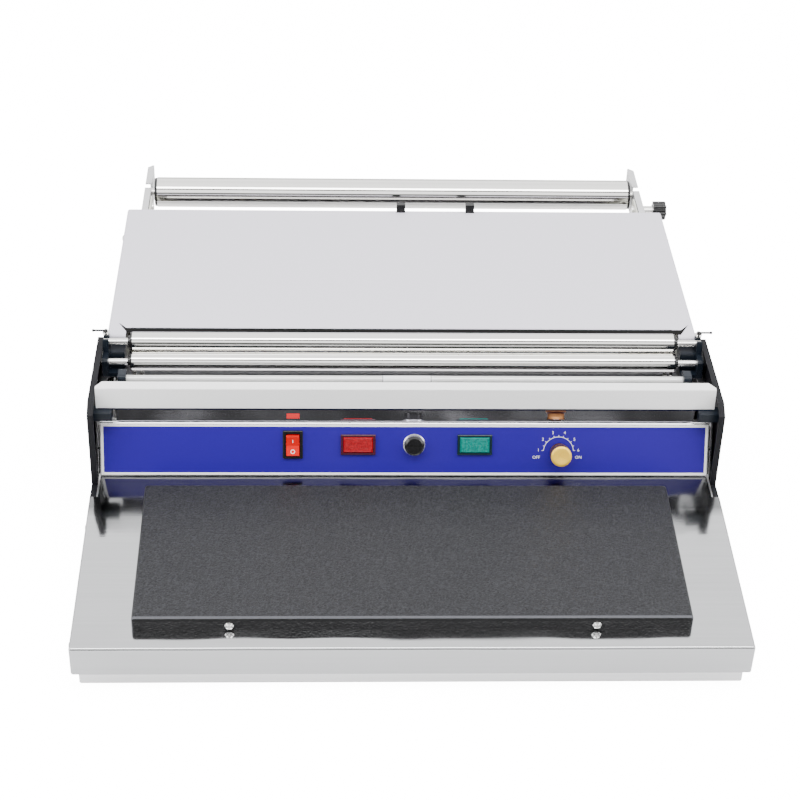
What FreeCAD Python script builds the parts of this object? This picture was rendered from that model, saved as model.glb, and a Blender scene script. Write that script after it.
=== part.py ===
import FreeCAD, Part
import math
import os

import Sketcher

# Cling film wrapping machine with a sloping hot plate tray, a leaning control panel, a heated cutter,
# two film rollers, a wrap table and a film roll cradle that slides out at the back.
# Frame: X to the right, Y to the back, Z up, origin on the table under the middle of the machine.
# Lengths are in millimetres and angles in degrees.

DRIVING_SIZES = {
    # whole machine
    "overall_width": 524.0,
    "overall_depth": 626.0,
    "sheet": 1.2,
    "bend": 2.4,
    "running_gap": 0.3,
    "pin_fit": 0.05,
    # rubber feet
    "foot_height": 5.0,
    "foot_radius": 9.0,
    "foot_inset_side": 34.0,
    "foot_inset_front": 28.0,
    "foot_inset_rear": 26.0,
    # tray at the front
    "handle_reach": 4.5,
    "tray_front_height": 44.2,
    "tray_slope": 3.5,
    "tray_flange": 26.5,
    "tray_full_depth": 173.0,
    "neck_inset": 7.0,
    "tray_neck_length": 30.0,
    "tray_screw_front": 17.5,
    "tray_screw_rear": 150.0,
    "tray_screw_height": 31.0,
    # bottom pan
    "pan_inset": 5.5,
    "pan_bend": 1.6,
    "pan_setback": 5.0,
    "pan_rear_inset": 105.0,
    # hot plate
    "plate_side_margin": 45.5,
    "plate_depth": 155.5,
    "plate_height": 11.2,
    "plate_setback": 20.0,
    "plate_corner": 2.6,
    "plate_screw_spacing": 277.4,
    "plate_screw_height": 4.9,
    "heater_margin": 9.0,
    "heater_thickness": 1.6,
    "insulation_gap": 0.4,
    "bracket_foot": 16.0,
    # leaning control panel
    "panel_setback": 198.0,
    "panel_lean": 22.8,
    "panel_inset": 7.1,
    "panel_height": 46.3,
    "panel_return": 13.0,
    "overlay_margin": 0.8,
    "overlay_thickness": 0.3,
    "control_row": 27.5,
    "bezel_height": 2.2,
    # rocker switch
    "switch_place": -93.0,
    "switch_width": 16.6,
    "switch_length": 23.6,
    "switch_depth": 17.0,
    "rocker_width": 10.6,
    "rocker_reach": 8.2,
    "rocker_pivot_height": 1.0,
    "rocker_rest_tilt": 9.0,
    "rocker_pin_radius": 1.2,
    # indicator lamps
    "lamp_red_place": -39.4,
    "lamp_green_place": 56.5,
    "lamp_width": 28.6,
    "lamp_length": 17.2,
    "lamp_wall": 2.0,
    "lamp_depth": 16.0,
    "lens_sink": 4.0,
    "lens_height": 0.7,
    # fuse holder
    "fuse_place": 6.6,
    "fuse_ring_radius": 9.1,
    "fuse_body_radius": 6.9,
    "fuse_cap_radius": 5.6,
    "fuse_head_radius": 8.0,
    "fuse_cap_height": 5.4,
    "fuse_depth": 30.0,
    "fuse_link_radius": 2.5,
    "fuse_link_length": 20.0,
    # heat regulator and its knob
    "knob_place": 126.3,
    "knob_row": 21.6,
    "knob_radius": 8.6,
    "knob_neck_radius": 7.0,
    "knob_neck_height": 6.0,
    "knob_height": 19.0,
    "shaft_radius": 3.0,
    "regulator_width": 34.0,
    "regulator_depth": 20.0,
    # control box cover, guard bar and cutter
    "box_inset": 21.0,
    "box_rear": 257.0,
    "box_top_height": 114.2,
    "shelf_setback": 226.0,
    "shelf_height": 103.0,
    "visor_overhang": 3.6,
    "bar_inset": 5.5,
    "bar_setback": 211.3,
    "bar_height": 19.3,
    "bar_lean": 1.0,
    "bar_depth": 11.0,
    "bar_corner_cut": 5.0,
    "end_block_width": 16.5,
    "end_block_depth": 11.0,
    "end_block_height": 8.3,
    "cutter_setback": 239.5,
    "cutter_rise": 10.8,
    "cutter_radius": 3.0,
    "cutter_inset": 24.5,
    "cutter_holder_width": 6.5,
    "cutter_holder_depth": 13.0,
    # black side plates
    "side_sheet": 1.5,
    "side_flange": 3.6,
    "side_front": 192.5,
    "side_top_front": 203.0,
    "side_top_rear": 298.5,
    "side_foot_rear": 372.0,
    "side_top_height": 127.6,
    "side_step_height": 52.0,
    "side_lower_edge": 12.0,
    "side_lower_front": 174.0,
    "side_corner": 7.0,
    "web_screw_height": 30.0,
    "web_screw_front": 198.0,
    "web_screw_pitch": 62.0,
    # film rollers at the front
    "roller_radius": 8.2,
    "roller_wall": 1.4,
    "roller_inset": 29.7,
    "roller_cap": 1.5,
    "roller_bush": 2.2,
    "bush_radius": 5.0,
    "bush_plug": 12.0,
    "axle_radius": 3.0,
    "axle_inset": 5.7,
    "lower_roller_setback": 279.0,
    "lower_roller_height": 115.8,
    "upper_roller_setback": 290.5,
    "upper_roller_height": 128.2,
    # bearing blocks and latch levers
    "block_inset": 10.0,
    "block_tower": 4.8,
    "block_front": 272.0,
    "block_rear": 298.0,
    "bridge_inset": 23.0,
    "bridge_setback": 284.5,
    "bridge_height": 16.0,
    "tower_setback": 285.5,
    "tower_height": 132.6,
    "latch_post_radius": 1.4,
    "latch_post_length": 18.0,
    "latch_post_margin": 2.2,
    "latch_rod_radius": 0.9,
    "latch_ball_radius": 1.3,
    "latch_rise": 2.2,
    # cross member under the rollers
    "cross_top": 105.2,
    "cross_gap": 14.0,
    "cross_depth": 38.0,
    "cross_height": 14.0,
    "cross_hole_radius": 4.5,
    "cross_hole_inset": 11.7,
    # wrap table cover
    "cover_inset": 7.5,
    "cover_height": 129.0,
    "cover_front": 311.5,
    "cover_rear_inset": 108.5,
    "cover_ear_front": 298.6,
    "cover_ear_width": 15.5,
    "cover_relief": 5.0,
    "cover_flange": 18.0,
    "cover_front_flange": 7.4,
    "cover_screw_inset": 149.0,
    "cover_screw_drop": 9.0,
    "clip_width": 8.0,
    "clip_height": 7.0,
    "clip_place": 37.0,
    "clip_spacing": 64.6,
    # rear side plates and film roll cradle
    "rear_side_front": 330.0,
    "rear_side_inset": 118.0,
    "foot_flange": 14.0,
    "frame_inset": 26.5,
    "frame_front_inset": 186.0,
    "frame_step_inset": 116.0,
    "frame_rear_inset": 58.0,
    "frame_top": 117.0,
    "frame_tail_height": 28.0,
    "cradle_rear_inset": 126.0,
    "cradle_height": 98.0,
    "cradle_radius": 13.6,
    "cradle_wall": 1.6,
    "cradle_inset": 35.5,
    "cradle_hub": 3.5,
    "arm_length": 218.0,
    "arm_top": 117.0,
    "arm_height": 29.0,
    "arm_flange": 6.0,
    "arm_tip_radius": 12.0,
    "arm_travel": 50.0,
    "rear_axle_inset": 41.5,
    "rear_roller_height": 110.0,
    "rear_radius": 14.3,
    "rear_roller_inset": 30.3,
    "rear_cap": 2.4,
    "rear_axle_radius": 4.0,
    "stud_radius": 3.0,
    "stud_rear_inset": 70.0,
    "guide_rear_inset": 156.0,
    "stud_height": 109.0,
    "star_radius": 9.0,
    "star_thickness": 12.5,
    "ferrule_radius": 5.0,
    # supply parts inside the pan
    "gland_radius": 8.0,
    "gland_bore": 3.7,
    "gland_length": 22.0,
    "gland_inset": 62.0,
    "gland_height": 30.0,
    "supply_inset": 102.0,
    "transformer_setback": 235.0,
    "transformer_width": 54.0,
    "transformer_height": 45.0,
    "transformer_stack": 24.0,
    "transformer_limb": 9.0,
    "terminal_setback": 235.0,
    "terminal_pitch": 10.0,
    "terminal_depth": 17.0,
    "terminal_height": 13.0,
    # fasteners
    "screw_head_radius": 3.4,
    "screw_head_height": 2.1,
    "screw_radius": 1.9,
    "screw_length": 6.0,
}


class Size:
    """A length or angle that is known both as a sheet formula and as a number."""

    def __init__(self, formula, value):
        self.formula = formula
        self.value = value

    def __add__(self, other):
        other = as_size(other)
        return Size(f"({self.formula} + {other.formula})", self.value + other.value)

    def __sub__(self, other):
        other = as_size(other)
        return Size(f"({self.formula} - {other.formula})", self.value - other.value)

    def __mul__(self, other):
        other = as_size(other)
        return Size(f"({self.formula} * {other.formula})", self.value * other.value)

    def __truediv__(self, other):
        other = as_size(other)
        return Size(f"({self.formula} / {other.formula})", self.value / other.value)

    def __radd__(self, other):
        return as_size(other) + self

    def __rsub__(self, other):
        return as_size(other) - self

    def __rmul__(self, other):
        return as_size(other) * self

    def __neg__(self):
        return Size(f"(0 - {self.formula})", -self.value)


def as_size(number):
    """Wrap a plain number as a Size."""
    if isinstance(number, Size):
        return number
    return Size(f"({number!r})", float(number))


def sine(angle):
    return Size(f"sin({angle.formula})", math.sin(math.radians(angle.value)))


def cosine(angle):
    return Size(f"cos({angle.formula})", math.cos(math.radians(angle.value)))


def tangent(angle):
    return Size(f"tan({angle.formula})", math.tan(math.radians(angle.value)))


doc = FreeCAD.newDocument("wrapping_machine")
sheet = doc.addObject("Spreadsheet::Sheet", "sizes")
for row, (alias, number) in enumerate(DRIVING_SIZES.items(), start=1):
    sheet.set(f"A{row}", str(number))
    sheet.setAlias(f"A{row}", alias)
doc.recompute()


def size(alias):
    """The Size of one cell of the sheet."""
    return Size(f"sizes.{alias}", float(sheet.get(alias)))


def back(distance):
    """Y of a point that lies a distance behind the front face of the tray."""
    return as_size(distance) - size("overall_depth") / 2


def ahead(distance):
    """Y of a point at a distance in front of the machine's rear end."""
    return size("overall_depth") / 2 - distance


PLANE_SIGN = {"XY_Plane": 1, "YZ_Plane": 1, "XZ_Plane": -1}


class Piece:
    """One separate piece, built as a body from sketches on its own origin planes."""

    def __init__(self, label):
        self.body = doc.addObject("PartDesign::Body", label)
        self.body.Label = label
        self.serial = 0

    @property
    def shape(self):
        return self.body.Shape

    def feature(self, kind):
        self.serial += 1
        return self.body.newObject(kind, f"{self.body.Name}_{self.serial}")

    def sketch(self, plane, loops, circles, offset):
        sketch = self.feature("Sketcher::SketchObject")
        support = [item for item in self.body.Origin.OriginFeatures if item.Role == plane]
        sketch.AttachmentSupport = [(support[0], "")]
        sketch.MapMode = "FlatFace"
        sketch.setExpression("AttachmentOffset.Base.z", offset.formula)
        for loop in loops:
            draw_loop(sketch, loop)
        for circle in circles:
            draw_circle(sketch, circle)
        return sketch

    def pad(self, plane, loops, start, end, circles=()):
        """Add the outline's solid from start to end, measured along the plane's world axis."""
        start, end = as_size(start), as_size(end)
        offset = start if PLANE_SIGN[plane] > 0 else -end
        pad = self.feature_on(plane, "PartDesign::Pad", loops, circles, offset)
        pad.setExpression("Length", (end - start).formula)
        return self.finish(pad)

    def pocket(self, plane, loops, start, end, circles=()):
        """Cut the outline's solid away from start to end, measured along the plane's world axis."""
        start, end = as_size(start), as_size(end)
        before = self.measured_volume()
        offset = end if PLANE_SIGN[plane] > 0 else -start
        pocket = self.feature_on(plane, "PartDesign::Pocket", loops, circles, offset)
        pocket.setExpression("Length", (end - start).formula)
        self.finish(pocket)
        if self.shape.Volume >= before:
            raise RuntimeError(f"{self.body.Label}: a cut removes nothing")
        return pocket

    def feature_on(self, plane, kind, loops, circles, offset):
        sketch = self.sketch(plane, loops, circles, offset)
        feature = self.feature(kind)
        feature.Profile = sketch
        return feature

    def measured_volume(self):
        doc.recompute()
        return self.shape.Volume

    def turn(self, plane, axis, loop):
        """Turn an outline of (length, radius) points about the sketch's own axis."""
        sketch = self.sketch(plane, [loop], (), as_size(0))
        turned = self.feature("PartDesign::Revolution")
        turned.Profile = sketch
        turned.ReferenceAxis = (sketch, [axis])
        turned.Angle = 360
        return self.finish(turned)

    def finish(self, feature):
        self.body.Tip = feature
        doc.recompute()
        if "Invalid" in feature.State or feature.Shape.isNull():
            raise RuntimeError(f"{self.body.Label}: {feature.Name} can't be built")
        return feature

    def round_edges(self, radius, chosen):
        names = [f"Edge{i}" for i, edge in enumerate(self.shape.Edges, start=1) if chosen(edge)]
        before = self.body.Tip
        fillet = self.feature("PartDesign::Fillet")
        fillet.Base = (before, names)
        fillet.setExpression("Radius", as_size(radius).formula)
        return self.finish(fillet)

    def cut_corners(self, length, chosen):
        names = [f"Edge{i}" for i, edge in enumerate(self.shape.Edges, start=1) if chosen(edge)]
        before = self.body.Tip
        chamfer = self.feature("PartDesign::Chamfer")
        chamfer.Base = (before, names)
        chamfer.setExpression("Size", as_size(length).formula)
        return self.finish(chamfer)

    def hollow(self, wall, opened):
        """Leave a folded wall of one thickness, open at the chosen faces."""
        names = [f"Face{i}" for i, face in enumerate(self.shape.Faces, start=1) if opened(face)]
        before = self.body.Tip
        shell = self.feature("PartDesign::Thickness")
        shell.Base = (before, names)
        shell.Join = "Intersection"
        shell.Reversed = True
        shell.setExpression("Value", as_size(wall).formula)
        return self.finish(shell)

    def repeat(self, originals, plane, steps):
        """Copy features along the sketch axes; each step is (axis, whole length, count)."""
        sketch = originals[0].Profile[0]
        pattern = self.feature("PartDesign::LinearPattern")
        pattern.Originals = originals
        for suffix, (axis, length, count) in zip(("", "2"), steps):
            setattr(pattern, f"Direction{suffix}", (sketch, [axis]))
            pattern.setExpression(f"Length{suffix}", as_size(length).formula)
            setattr(pattern, f"Occurrences{suffix}", count)
        return self.finish(pattern)

    def place(self, x=0, y=0, z=0, tilt=0):
        """Seat the body at a point, turned about X by an angle."""
        self.body.Placement = FreeCAD.Placement(FreeCAD.Vector(), FreeCAD.Rotation(FreeCAD.Vector(1, 0, 0), 1))
        self.body.setExpression("Placement.Base.x", as_size(x).formula)
        self.body.setExpression("Placement.Base.y", as_size(y).formula)
        self.body.setExpression("Placement.Base.z", as_size(z).formula)
        self.body.setExpression("Placement.Rotation.Angle", as_size(tilt).formula)
        doc.recompute()
        return self


def draw_loop(sketch, points):
    """Draw a closed outline whose corners are held by the sheet."""
    points = [(as_size(u), as_size(v)) for u, v in points]
    first = sketch.GeometryCount
    total = len(points)
    for here, after in zip(points, points[1:] + points[:1]):
        ends = [FreeCAD.Vector(u.value, v.value, 0) for u, v in (here, after)]
        sketch.addGeometry(Part.LineSegment(*ends), False)
    for i in range(total):
        sketch.addConstraint(Sketcher.Constraint("Coincident", first + i, 2, first + (i + 1) % total, 1))
    for i, (u, v) in enumerate(points):
        hold_point(sketch, first + i, 1, u, v)


def draw_circle(sketch, circle):
    """Draw a circle (u, v, radius) held by the sheet."""
    u, v, radius = (as_size(part) for part in circle)
    centre = FreeCAD.Vector(u.value, v.value, 0)
    index = sketch.addGeometry(Part.Circle(centre, FreeCAD.Vector(0, 0, 1), radius.value), False)
    hold_point(sketch, index, 3, u, v)
    constraint = sketch.addConstraint(Sketcher.Constraint("Radius", index, radius.value))
    sketch.setExpression(f"Constraints[{constraint}]", radius.formula)


def hold_point(sketch, geometry, position, u, v):
    for kind, part in (("DistanceX", u), ("DistanceY", v)):
        constraint = sketch.addConstraint(Sketcher.Constraint(kind, geometry, position, part.value))
        sketch.setExpression(f"Constraints[{constraint}]", part.formula)


def rectangle(low_u, low_v, high_u, high_v):
    return [(low_u, low_v), (high_u, low_v), (high_u, high_v), (low_u, high_v)]


def centred(middle_u, middle_v, width, height):
    half_u, half_v = as_size(width) / 2, as_size(height) / 2
    return rectangle(middle_u - half_u, middle_v - half_v, middle_u + half_u, middle_v + half_v)


def faces_along(axis, sign):
    """Chooser for flat faces that look along one world axis."""
    def chosen(face):
        normal = face.normalAt(0, 0)
        return isinstance(face.Surface, Part.Plane) and getattr(normal, axis) * sign > 0.999
    return chosen


def straight_along(axis):
    """Chooser for straight edges that run along one axis."""
    def chosen(edge):
        if not isinstance(edge.Curve, Part.Line):
            return False
        return abs(getattr(edge.Curve.Direction, axis)) > 0.999
    return chosen


def near(measure, value, reach=0.05):
    return abs(measure - as_size(value).value) < reach


def mirrored(label, source):
    """The same piece on the other side of the machine."""
    other = doc.addObject("Part::Mirroring", label)
    other.Label = label
    other.Source = source.body
    other.Normal = (1, 0, 0)
    doc.recompute()
    return other


PARTS = {}


def keep(label, thing):
    """Note a finished piece under its node name."""
    PARTS[label] = thing.body if isinstance(thing, Piece) else thing
    return thing


# Places worked out from the driving sizes
sheet_wall = size("sheet")
gap = size("running_gap")
slope = size("tray_slope")
tray_half = size("overall_width") / 2 - size("handle_reach")
pan_half = tray_half - size("pan_inset")
pan_floor = size("foot_height") + sheet_wall
tray_depth = size("tray_full_depth") + size("tray_neck_length")


def tray_top(distance):
    """Height of the tray's upper face at a distance behind its front."""
    return size("tray_front_height") + as_size(distance) * tangent(slope)


tray_drop = sheet_wall / cosine(slope)
tray_nose = size("bend") * sine(slope)
pan_rim = tray_top(tray_depth) - tray_drop
panel_foot_y = back(size("panel_setback") * cosine(slope))
panel_foot_z = size("tray_front_height") + size("panel_setback") * sine(slope)
panel_turn = 90 - size("panel_lean")
panel_top_y = panel_foot_y + size("panel_height") * sine(size("panel_lean"))
panel_top_z = panel_foot_z + size("panel_height") * cosine(size("panel_lean"))
overlay_top = size("overlay_thickness")
side_outer = tray_half
side_inner = side_outer - size("side_sheet")


clear_radius = size("screw_radius") + gap
web_screw_places = [
    (back(size("web_screw_front") + size("web_screw_pitch") * k), size("web_screw_height")) for k in range(3)
]
tray_screw_local = size("tray_screw_height") - size("tray_front_height")
tray_screw_places = [
    (
        back(-tray_nose) + along * cosine(slope) - tray_screw_local * sine(slope),
        tray_top(-tray_nose) + along * sine(slope) + tray_screw_local * cosine(slope),
    )
    for along in (size("tray_screw_front"), size("tray_screw_rear"))
]


def on_panel(piece):
    """Seat a piece whose X runs along the panel, Y up its slope and Z out of its face."""
    return piece.place(0, panel_foot_y, panel_foot_z, panel_turn)


def on_tray(piece):
    """Seat a piece whose Y runs up the tray's slope and Z out of its upper face."""
    return piece.place(0, back(-tray_nose), tray_top(-tray_nose), slope)


# Bottom pan: folded box whose rim follows the sloping tray
pan = Piece("bottom_pan")
pan_front = size("pan_setback")
inlet_x, inlet_z = pan_half - size("gland_inset"), size("gland_height")
pan_rear = size("overall_depth") - size("pan_rear_inset")
pan.pad(
    "XY_Plane",
    [rectangle(-pan_half, back(pan_front), pan_half, back(pan_rear))],
    size("foot_height"),
    pan_rim,
)
pan.round_edges(
    size("pan_bend"),
    lambda e: near(e.BoundBox.ZMax, size("foot_height")) or straight_along("z")(e),
)
pan.hollow(sheet_wall, faces_along("z", 1))
pan.pocket(
    "YZ_Plane",
    [[
        (back(-1), tray_top(-1) - tray_drop),
        (back(tray_depth), pan_rim),
        (back(tray_depth), pan_rim + 1),
        (back(-1), pan_rim + 1),
    ]],
    -pan_half - 1,
    pan_half + 1,
)
pan.pocket(
    "XZ_Plane",
    [],
    back(pan_rear - 2 * sheet_wall),
    back(pan_rear + sheet_wall),
    circles=[(inlet_x, inlet_z, size("gland_radius") - 2 + size("pin_fit"))],
)
pan.pocket(
    "YZ_Plane",
    [],
    -pan_half - 1,
    pan_half + 1,
    circles=[(y, z, clear_radius) for y, z in web_screw_places + tray_screw_places],
)
keep("bottom_pan", pan)

# Four rubber feet under the pan
feet = Piece("rubber_feet")
foot_x = pan_half - size("foot_inset_side")
foot_front = size("foot_inset_front")
foot_rear = pan_rear - size("foot_inset_rear")
foot = feet.pad("XY_Plane", [], 0, size("foot_height"), circles=[(-foot_x, back(foot_front), size("foot_radius"))])
feet.repeat([foot], "XY_Plane", [("H_Axis", 2 * foot_x, 2), ("V_Axis", foot_rear - foot_front, 2)])
feet.cut_corners(1.2, lambda e: near(e.BoundBox.ZMax, 0))
keep("rubber_feet", feet)

# Tray: sloping top with folded front and side flanges, and a narrower neck under the panel
tray = Piece("tray")
tray_end = size("tray_full_depth")
neck_half = tray_half - size("neck_inset")
neck_end = tray_end + size("tray_neck_length")
tray.pad("XY_Plane", [rectangle(-tray_half, 0, tray_half, neck_end)], -size("tray_flange"), 0)
tray.round_edges(size("bend"), lambda e: e.BoundBox.ZMax > -1 or straight_along("z")(e))
tray.hollow(sheet_wall, faces_along("z", -1))
tray.pocket(
    "XY_Plane",
    [rectangle(-tray_half - 1, tray_end, tray_half + 1, neck_end + 1)],
    -size("tray_flange") - 1,
    -sheet_wall,
)
for side in (-1, 1):
    tray.pocket(
        "XY_Plane",
        [[
            (side * neck_half, tray_end),
            (side * (tray_half + 1), tray_end),
            (side * (tray_half + 1), neck_end + 1),
            (side * (neck_half - 1), neck_end + 1),
        ]],
        -size("tray_flange") - 1,
        1,
    )
tray_screw_locals = [(size("tray_screw_front"), tray_screw_local), (size("tray_screw_rear"), tray_screw_local)]
tray.pocket(
    "YZ_Plane",
    [],
    -tray_half - 1,
    tray_half + 1,
    circles=[(y, z, clear_radius) for y, z in tray_screw_locals],
)
keep("tray", on_tray(tray))

# Hot plate: folded cover that sits on the tray, with two screw holes in its front wall
plate = Piece("hot_plate")
plate_half = tray_half - size("plate_side_margin")
plate_front = size("plate_setback")
plate_rear = plate_front + size("plate_depth")
plate_screw_x = size("plate_screw_spacing") / 2
plate.pad("XY_Plane", [rectangle(-plate_half, plate_front, plate_half, plate_rear)], 0, size("plate_height"))
plate.round_edges(size("plate_corner"), straight_along("z"))
plate.round_edges(size("bend"), lambda e: near(e.BoundBox.ZMin, size("plate_height")))
plate.hollow(sheet_wall, faces_along("z", -1))
plate_holes = [
    (side * plate_screw_x, size("plate_screw_height"), size("screw_radius") + gap) for side in (-1, 1)
]
plate.pocket("XZ_Plane", [], plate_front - 1, plate_front + 2 * sheet_wall, circles=plate_holes)
keep("hot_plate", on_tray(plate))

# Two angle brackets on the tray behind the front wall of the hot plate
brackets = Piece("hot_plate_brackets")
bracket_face = plate_front + sheet_wall
bracket_half = size("plate_screw_height") * 2
bracket_top = size("plate_height") - size("bend") - gap
angle_loop = [
    (bracket_face, 0),
    (bracket_face + size("bracket_foot"), 0),
    (bracket_face + size("bracket_foot"), size("side_sheet")),
    (bracket_face + size("side_sheet"), size("side_sheet")),
    (bracket_face + size("side_sheet"), bracket_top),
    (bracket_face, bracket_top),
]
for side in (-1, 1):
    middle = side * plate_screw_x
    brackets.pad("YZ_Plane", [angle_loop], middle - bracket_half, middle + bracket_half)
bracket_holes = [
    (side * plate_screw_x, size("plate_screw_height"), size("screw_radius") + size("pin_fit")) for side in (-1, 1)
]
brackets.pocket("XZ_Plane", [], bracket_face - 1, bracket_face + 2 * size("side_sheet"), circles=bracket_holes)
keep("hot_plate_brackets", on_tray(brackets))


# Heater mat under the top of the hot plate and the insulation board below it
heater_front = bracket_face + size("bracket_foot") + size("insulation_gap") + 1.6
heater_half = plate_half - size("heater_margin")
heater_low = size("plate_height") - sheet_wall - size("heater_thickness")
heater_outline = rectangle(-heater_half, heater_front, heater_half, plate_rear - size("heater_margin"))
heater = Piece("heater_element")
heater.pad("XY_Plane", [heater_outline], heater_low, heater_low + size("heater_thickness"))
keep("heater_element", on_tray(heater))
insulation = Piece("heater_insulation")
insulation.pad("XY_Plane", [heater_outline], 0, heater_low - size("insulation_gap"))
keep("heater_insulation", on_tray(insulation))

# Leaning control panel with its cut-outs
panel_half = tray_half - size("panel_inset")
panel_start = sheet_wall * tangent(size("panel_lean") + slope) + gap
panel_top = size("panel_height")
row = size("control_row")
lip = 1.2
switch_hole = centred(size("switch_place"), row, size("switch_width") - 2 * lip, size("switch_length") - 2 * lip)
lamp_places = (size("lamp_red_place"), size("lamp_green_place"))
lamp_holes = [
    centred(place, row, size("lamp_width") - 2 * lip, size("lamp_length") - 2 * lip) for place in lamp_places
]
bushing_radius = size("shaft_radius") + 1.6
round_holes = [
    (size("fuse_place"), row, size("fuse_body_radius") + gap),
    (size("knob_place"), size("knob_row"), bushing_radius + gap),
]
panel = Piece("control_panel")
panel.pad("XY_Plane", [rectangle(-panel_half, panel_start, panel_half, panel_top)], -size("panel_return"), 0)
panel.round_edges(size("bend"), lambda e: near(e.BoundBox.YMin, panel_top) and near(e.BoundBox.ZMin, 0))
panel.pocket(
    "YZ_Plane",
    [rectangle(0, -size("panel_return") - 1, panel_top - sheet_wall, -sheet_wall)],
    -panel_half - 1,
    panel_half + 1,
)
panel.pocket("XY_Plane", [switch_hole, *lamp_holes], -2 * sheet_wall, 1, circles=round_holes)
keep("control_panel", on_panel(panel))

# Printed overlay on the panel
overlay = Piece("panel_overlay")
overlay_half = panel_half - size("overlay_margin")
overlay_low = panel_start + size("overlay_margin")
overlay_high = panel_top - size("bend")
overlay.pad(
    "XY_Plane",
    [rectangle(-overlay_half, overlay_low, overlay_half, overlay_high), switch_hole, *lamp_holes],
    0,
    overlay_top,
    circles=round_holes,
)
keep("panel_overlay", on_panel(overlay))

# Switch housing: collar on the overlay, body behind the panel, cavity and pin holes for the rocker
switch_x = size("switch_place")
switch_face = overlay_top + size("bezel_height")
switch_body_width = size("switch_width") - 2 * lip - 2 * gap
switch_body_length = size("switch_length") - 2 * lip - 2 * gap
cavity_length = 2 * (size("rocker_reach") + 0.9)
pivot_z = size("rocker_pivot_height")
pin_radius = size("rocker_pin_radius")
housing = Piece("switch_housing")
housing.pad(
    "XY_Plane",
    [centred(switch_x, row, size("switch_width"), size("switch_length"))],
    overlay_top,
    switch_face,
)
housing.round_edges(0.8, lambda e: near(e.BoundBox.ZMin, switch_face) or straight_along("z")(e))
housing.pad(
    "XY_Plane",
    [centred(switch_x, row, switch_body_width, switch_body_length)],
    -size("switch_depth"),
    overlay_top,
)
housing.pocket(
    "XY_Plane",
    [centred(switch_x, row, size("rocker_width") + 2 * gap, cavity_length)],
    -8,
    switch_face + 1,
)
housing.pocket(
    "YZ_Plane",
    [],
    switch_x - size("switch_width"),
    switch_x + size("switch_width"),
    circles=[(row, pivot_z, pin_radius + size("pin_fit"))],
)
for shift in (-6, 6):
    housing.pad(
        "XY_Plane",
        [centred(switch_x, row + shift, 6.3, 0.8)],
        -size("switch_depth") - 7,
        -size("switch_depth"),
    )
keep("switch_housing", on_panel(housing))


def turned(points, centre_u, centre_v, angle):
    """The points turned about a centre."""
    sin_a, cos_a = sine(angle), cosine(angle)
    return [
        (centre_u + u * cos_a - v * sin_a, centre_v + u * sin_a + v * cos_a)
        for u, v in points
    ]


# Rocker, drawn with its switched-off end pressed in
reach = size("rocker_reach")
rocker_outline = [
    (-reach, as_size(-2)),
    (-reach, as_size(4.6)),
    (as_size(0), as_size(3)),
    (reach, as_size(4.6)),
    (reach, as_size(-2)),
    (as_size(2), as_size(-3)),
    (as_size(-2), as_size(-3)),
]
rocker = Piece("switch_rocker")
rocker.pad(
    "YZ_Plane",
    [turned(rocker_outline, row, pivot_z, size("rocker_rest_tilt"))],
    switch_x - size("rocker_width") / 2,
    switch_x + size("rocker_width") / 2,
)
pin_half = switch_body_width / 2 - 0.2
rocker.pad("YZ_Plane", [], switch_x - pin_half, switch_x + pin_half, circles=[(row, pivot_z, pin_radius)])
keep("switch_rocker", on_panel(rocker))

# Indicator lamps: two identical bezels and a lens in each
bezels = Piece("indicator_bezels")
lens_width = size("lamp_width") - 2 * size("lamp_wall")
lens_length = size("lamp_length") - 2 * size("lamp_wall")
for place in lamp_places:
    bezels.pad(
        "XY_Plane",
        [centred(place, row, size("lamp_width"), size("lamp_length"))],
        overlay_top,
        switch_face,
    )
    bezels.pad(
        "XY_Plane",
        [centred(place, row, size("lamp_width") - 2 * lip - 2 * gap, size("lamp_length") - 2 * lip - 2 * gap)],
        -size("lamp_depth"),
        overlay_top,
    )
    bezels.pocket(
        "XY_Plane",
        [centred(place, row, lens_width, lens_length)],
        switch_face - size("lens_sink"),
        switch_face + 1,
    )
bezels.round_edges(0.8, lambda e: near(e.BoundBox.ZMin, switch_face) and e.Length > lens_width.value + 1)
keep("indicator_bezels", on_panel(bezels))
for label, place in zip(("red_indicator_lens", "green_indicator_lens"), lamp_places):
    lens = Piece(label)
    lens.pad(
        "XY_Plane",
        [centred(place, row, lens_width - 2 * size("pin_fit"), lens_length - 2 * size("pin_fit"))],
        switch_face - size("lens_sink"),
        switch_face + size("lens_height"),
    )
    lens.round_edges(1.5, lambda e: near(e.BoundBox.ZMin, switch_face + size("lens_height")))
    keep(label, on_panel(lens))

# Fuse holder with a bayonet cap and a glass link
fuse_x = size("fuse_place")
cap_bore = size("fuse_cap_radius") + size("pin_fit")
fuse_floor = -size("fuse_depth") + 2
link_bore = size("fuse_link_radius") + gap
cap_low = as_size(-7)
holder = Piece("fuse_holder")
holder.turn("XZ_Plane", "V_Axis", [
    (0, -size("fuse_depth")),
    (size("fuse_body_radius"), -size("fuse_depth")),
    (size("fuse_body_radius"), overlay_top),
    (size("fuse_ring_radius"), overlay_top),
    (size("fuse_ring_radius"), overlay_top + 1.4),
    (size("fuse_ring_radius") - 0.8, switch_face),
    (cap_bore, switch_face),
    (cap_bore, cap_low - gap),
    (link_bore, cap_low - gap),
    (link_bore, fuse_floor),
    (0, fuse_floor),
])
cap = Piece("fuse_cap")
cap_high = switch_face + size("fuse_cap_height")
link_hold = size("fuse_link_radius") + size("pin_fit")
cap.turn("XZ_Plane", "V_Axis", [
    (link_hold, cap_low),
    (size("fuse_cap_radius"), cap_low),
    (size("fuse_cap_radius"), switch_face + gap),
    (size("fuse_head_radius"), switch_face + gap),
    (size("fuse_head_radius"), cap_high - 1.4),
    (size("fuse_head_radius") - 1.6, cap_high),
    (0, cap_high),
    (0, cap_low + 4),
    (link_hold, cap_low + 4),
])
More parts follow.
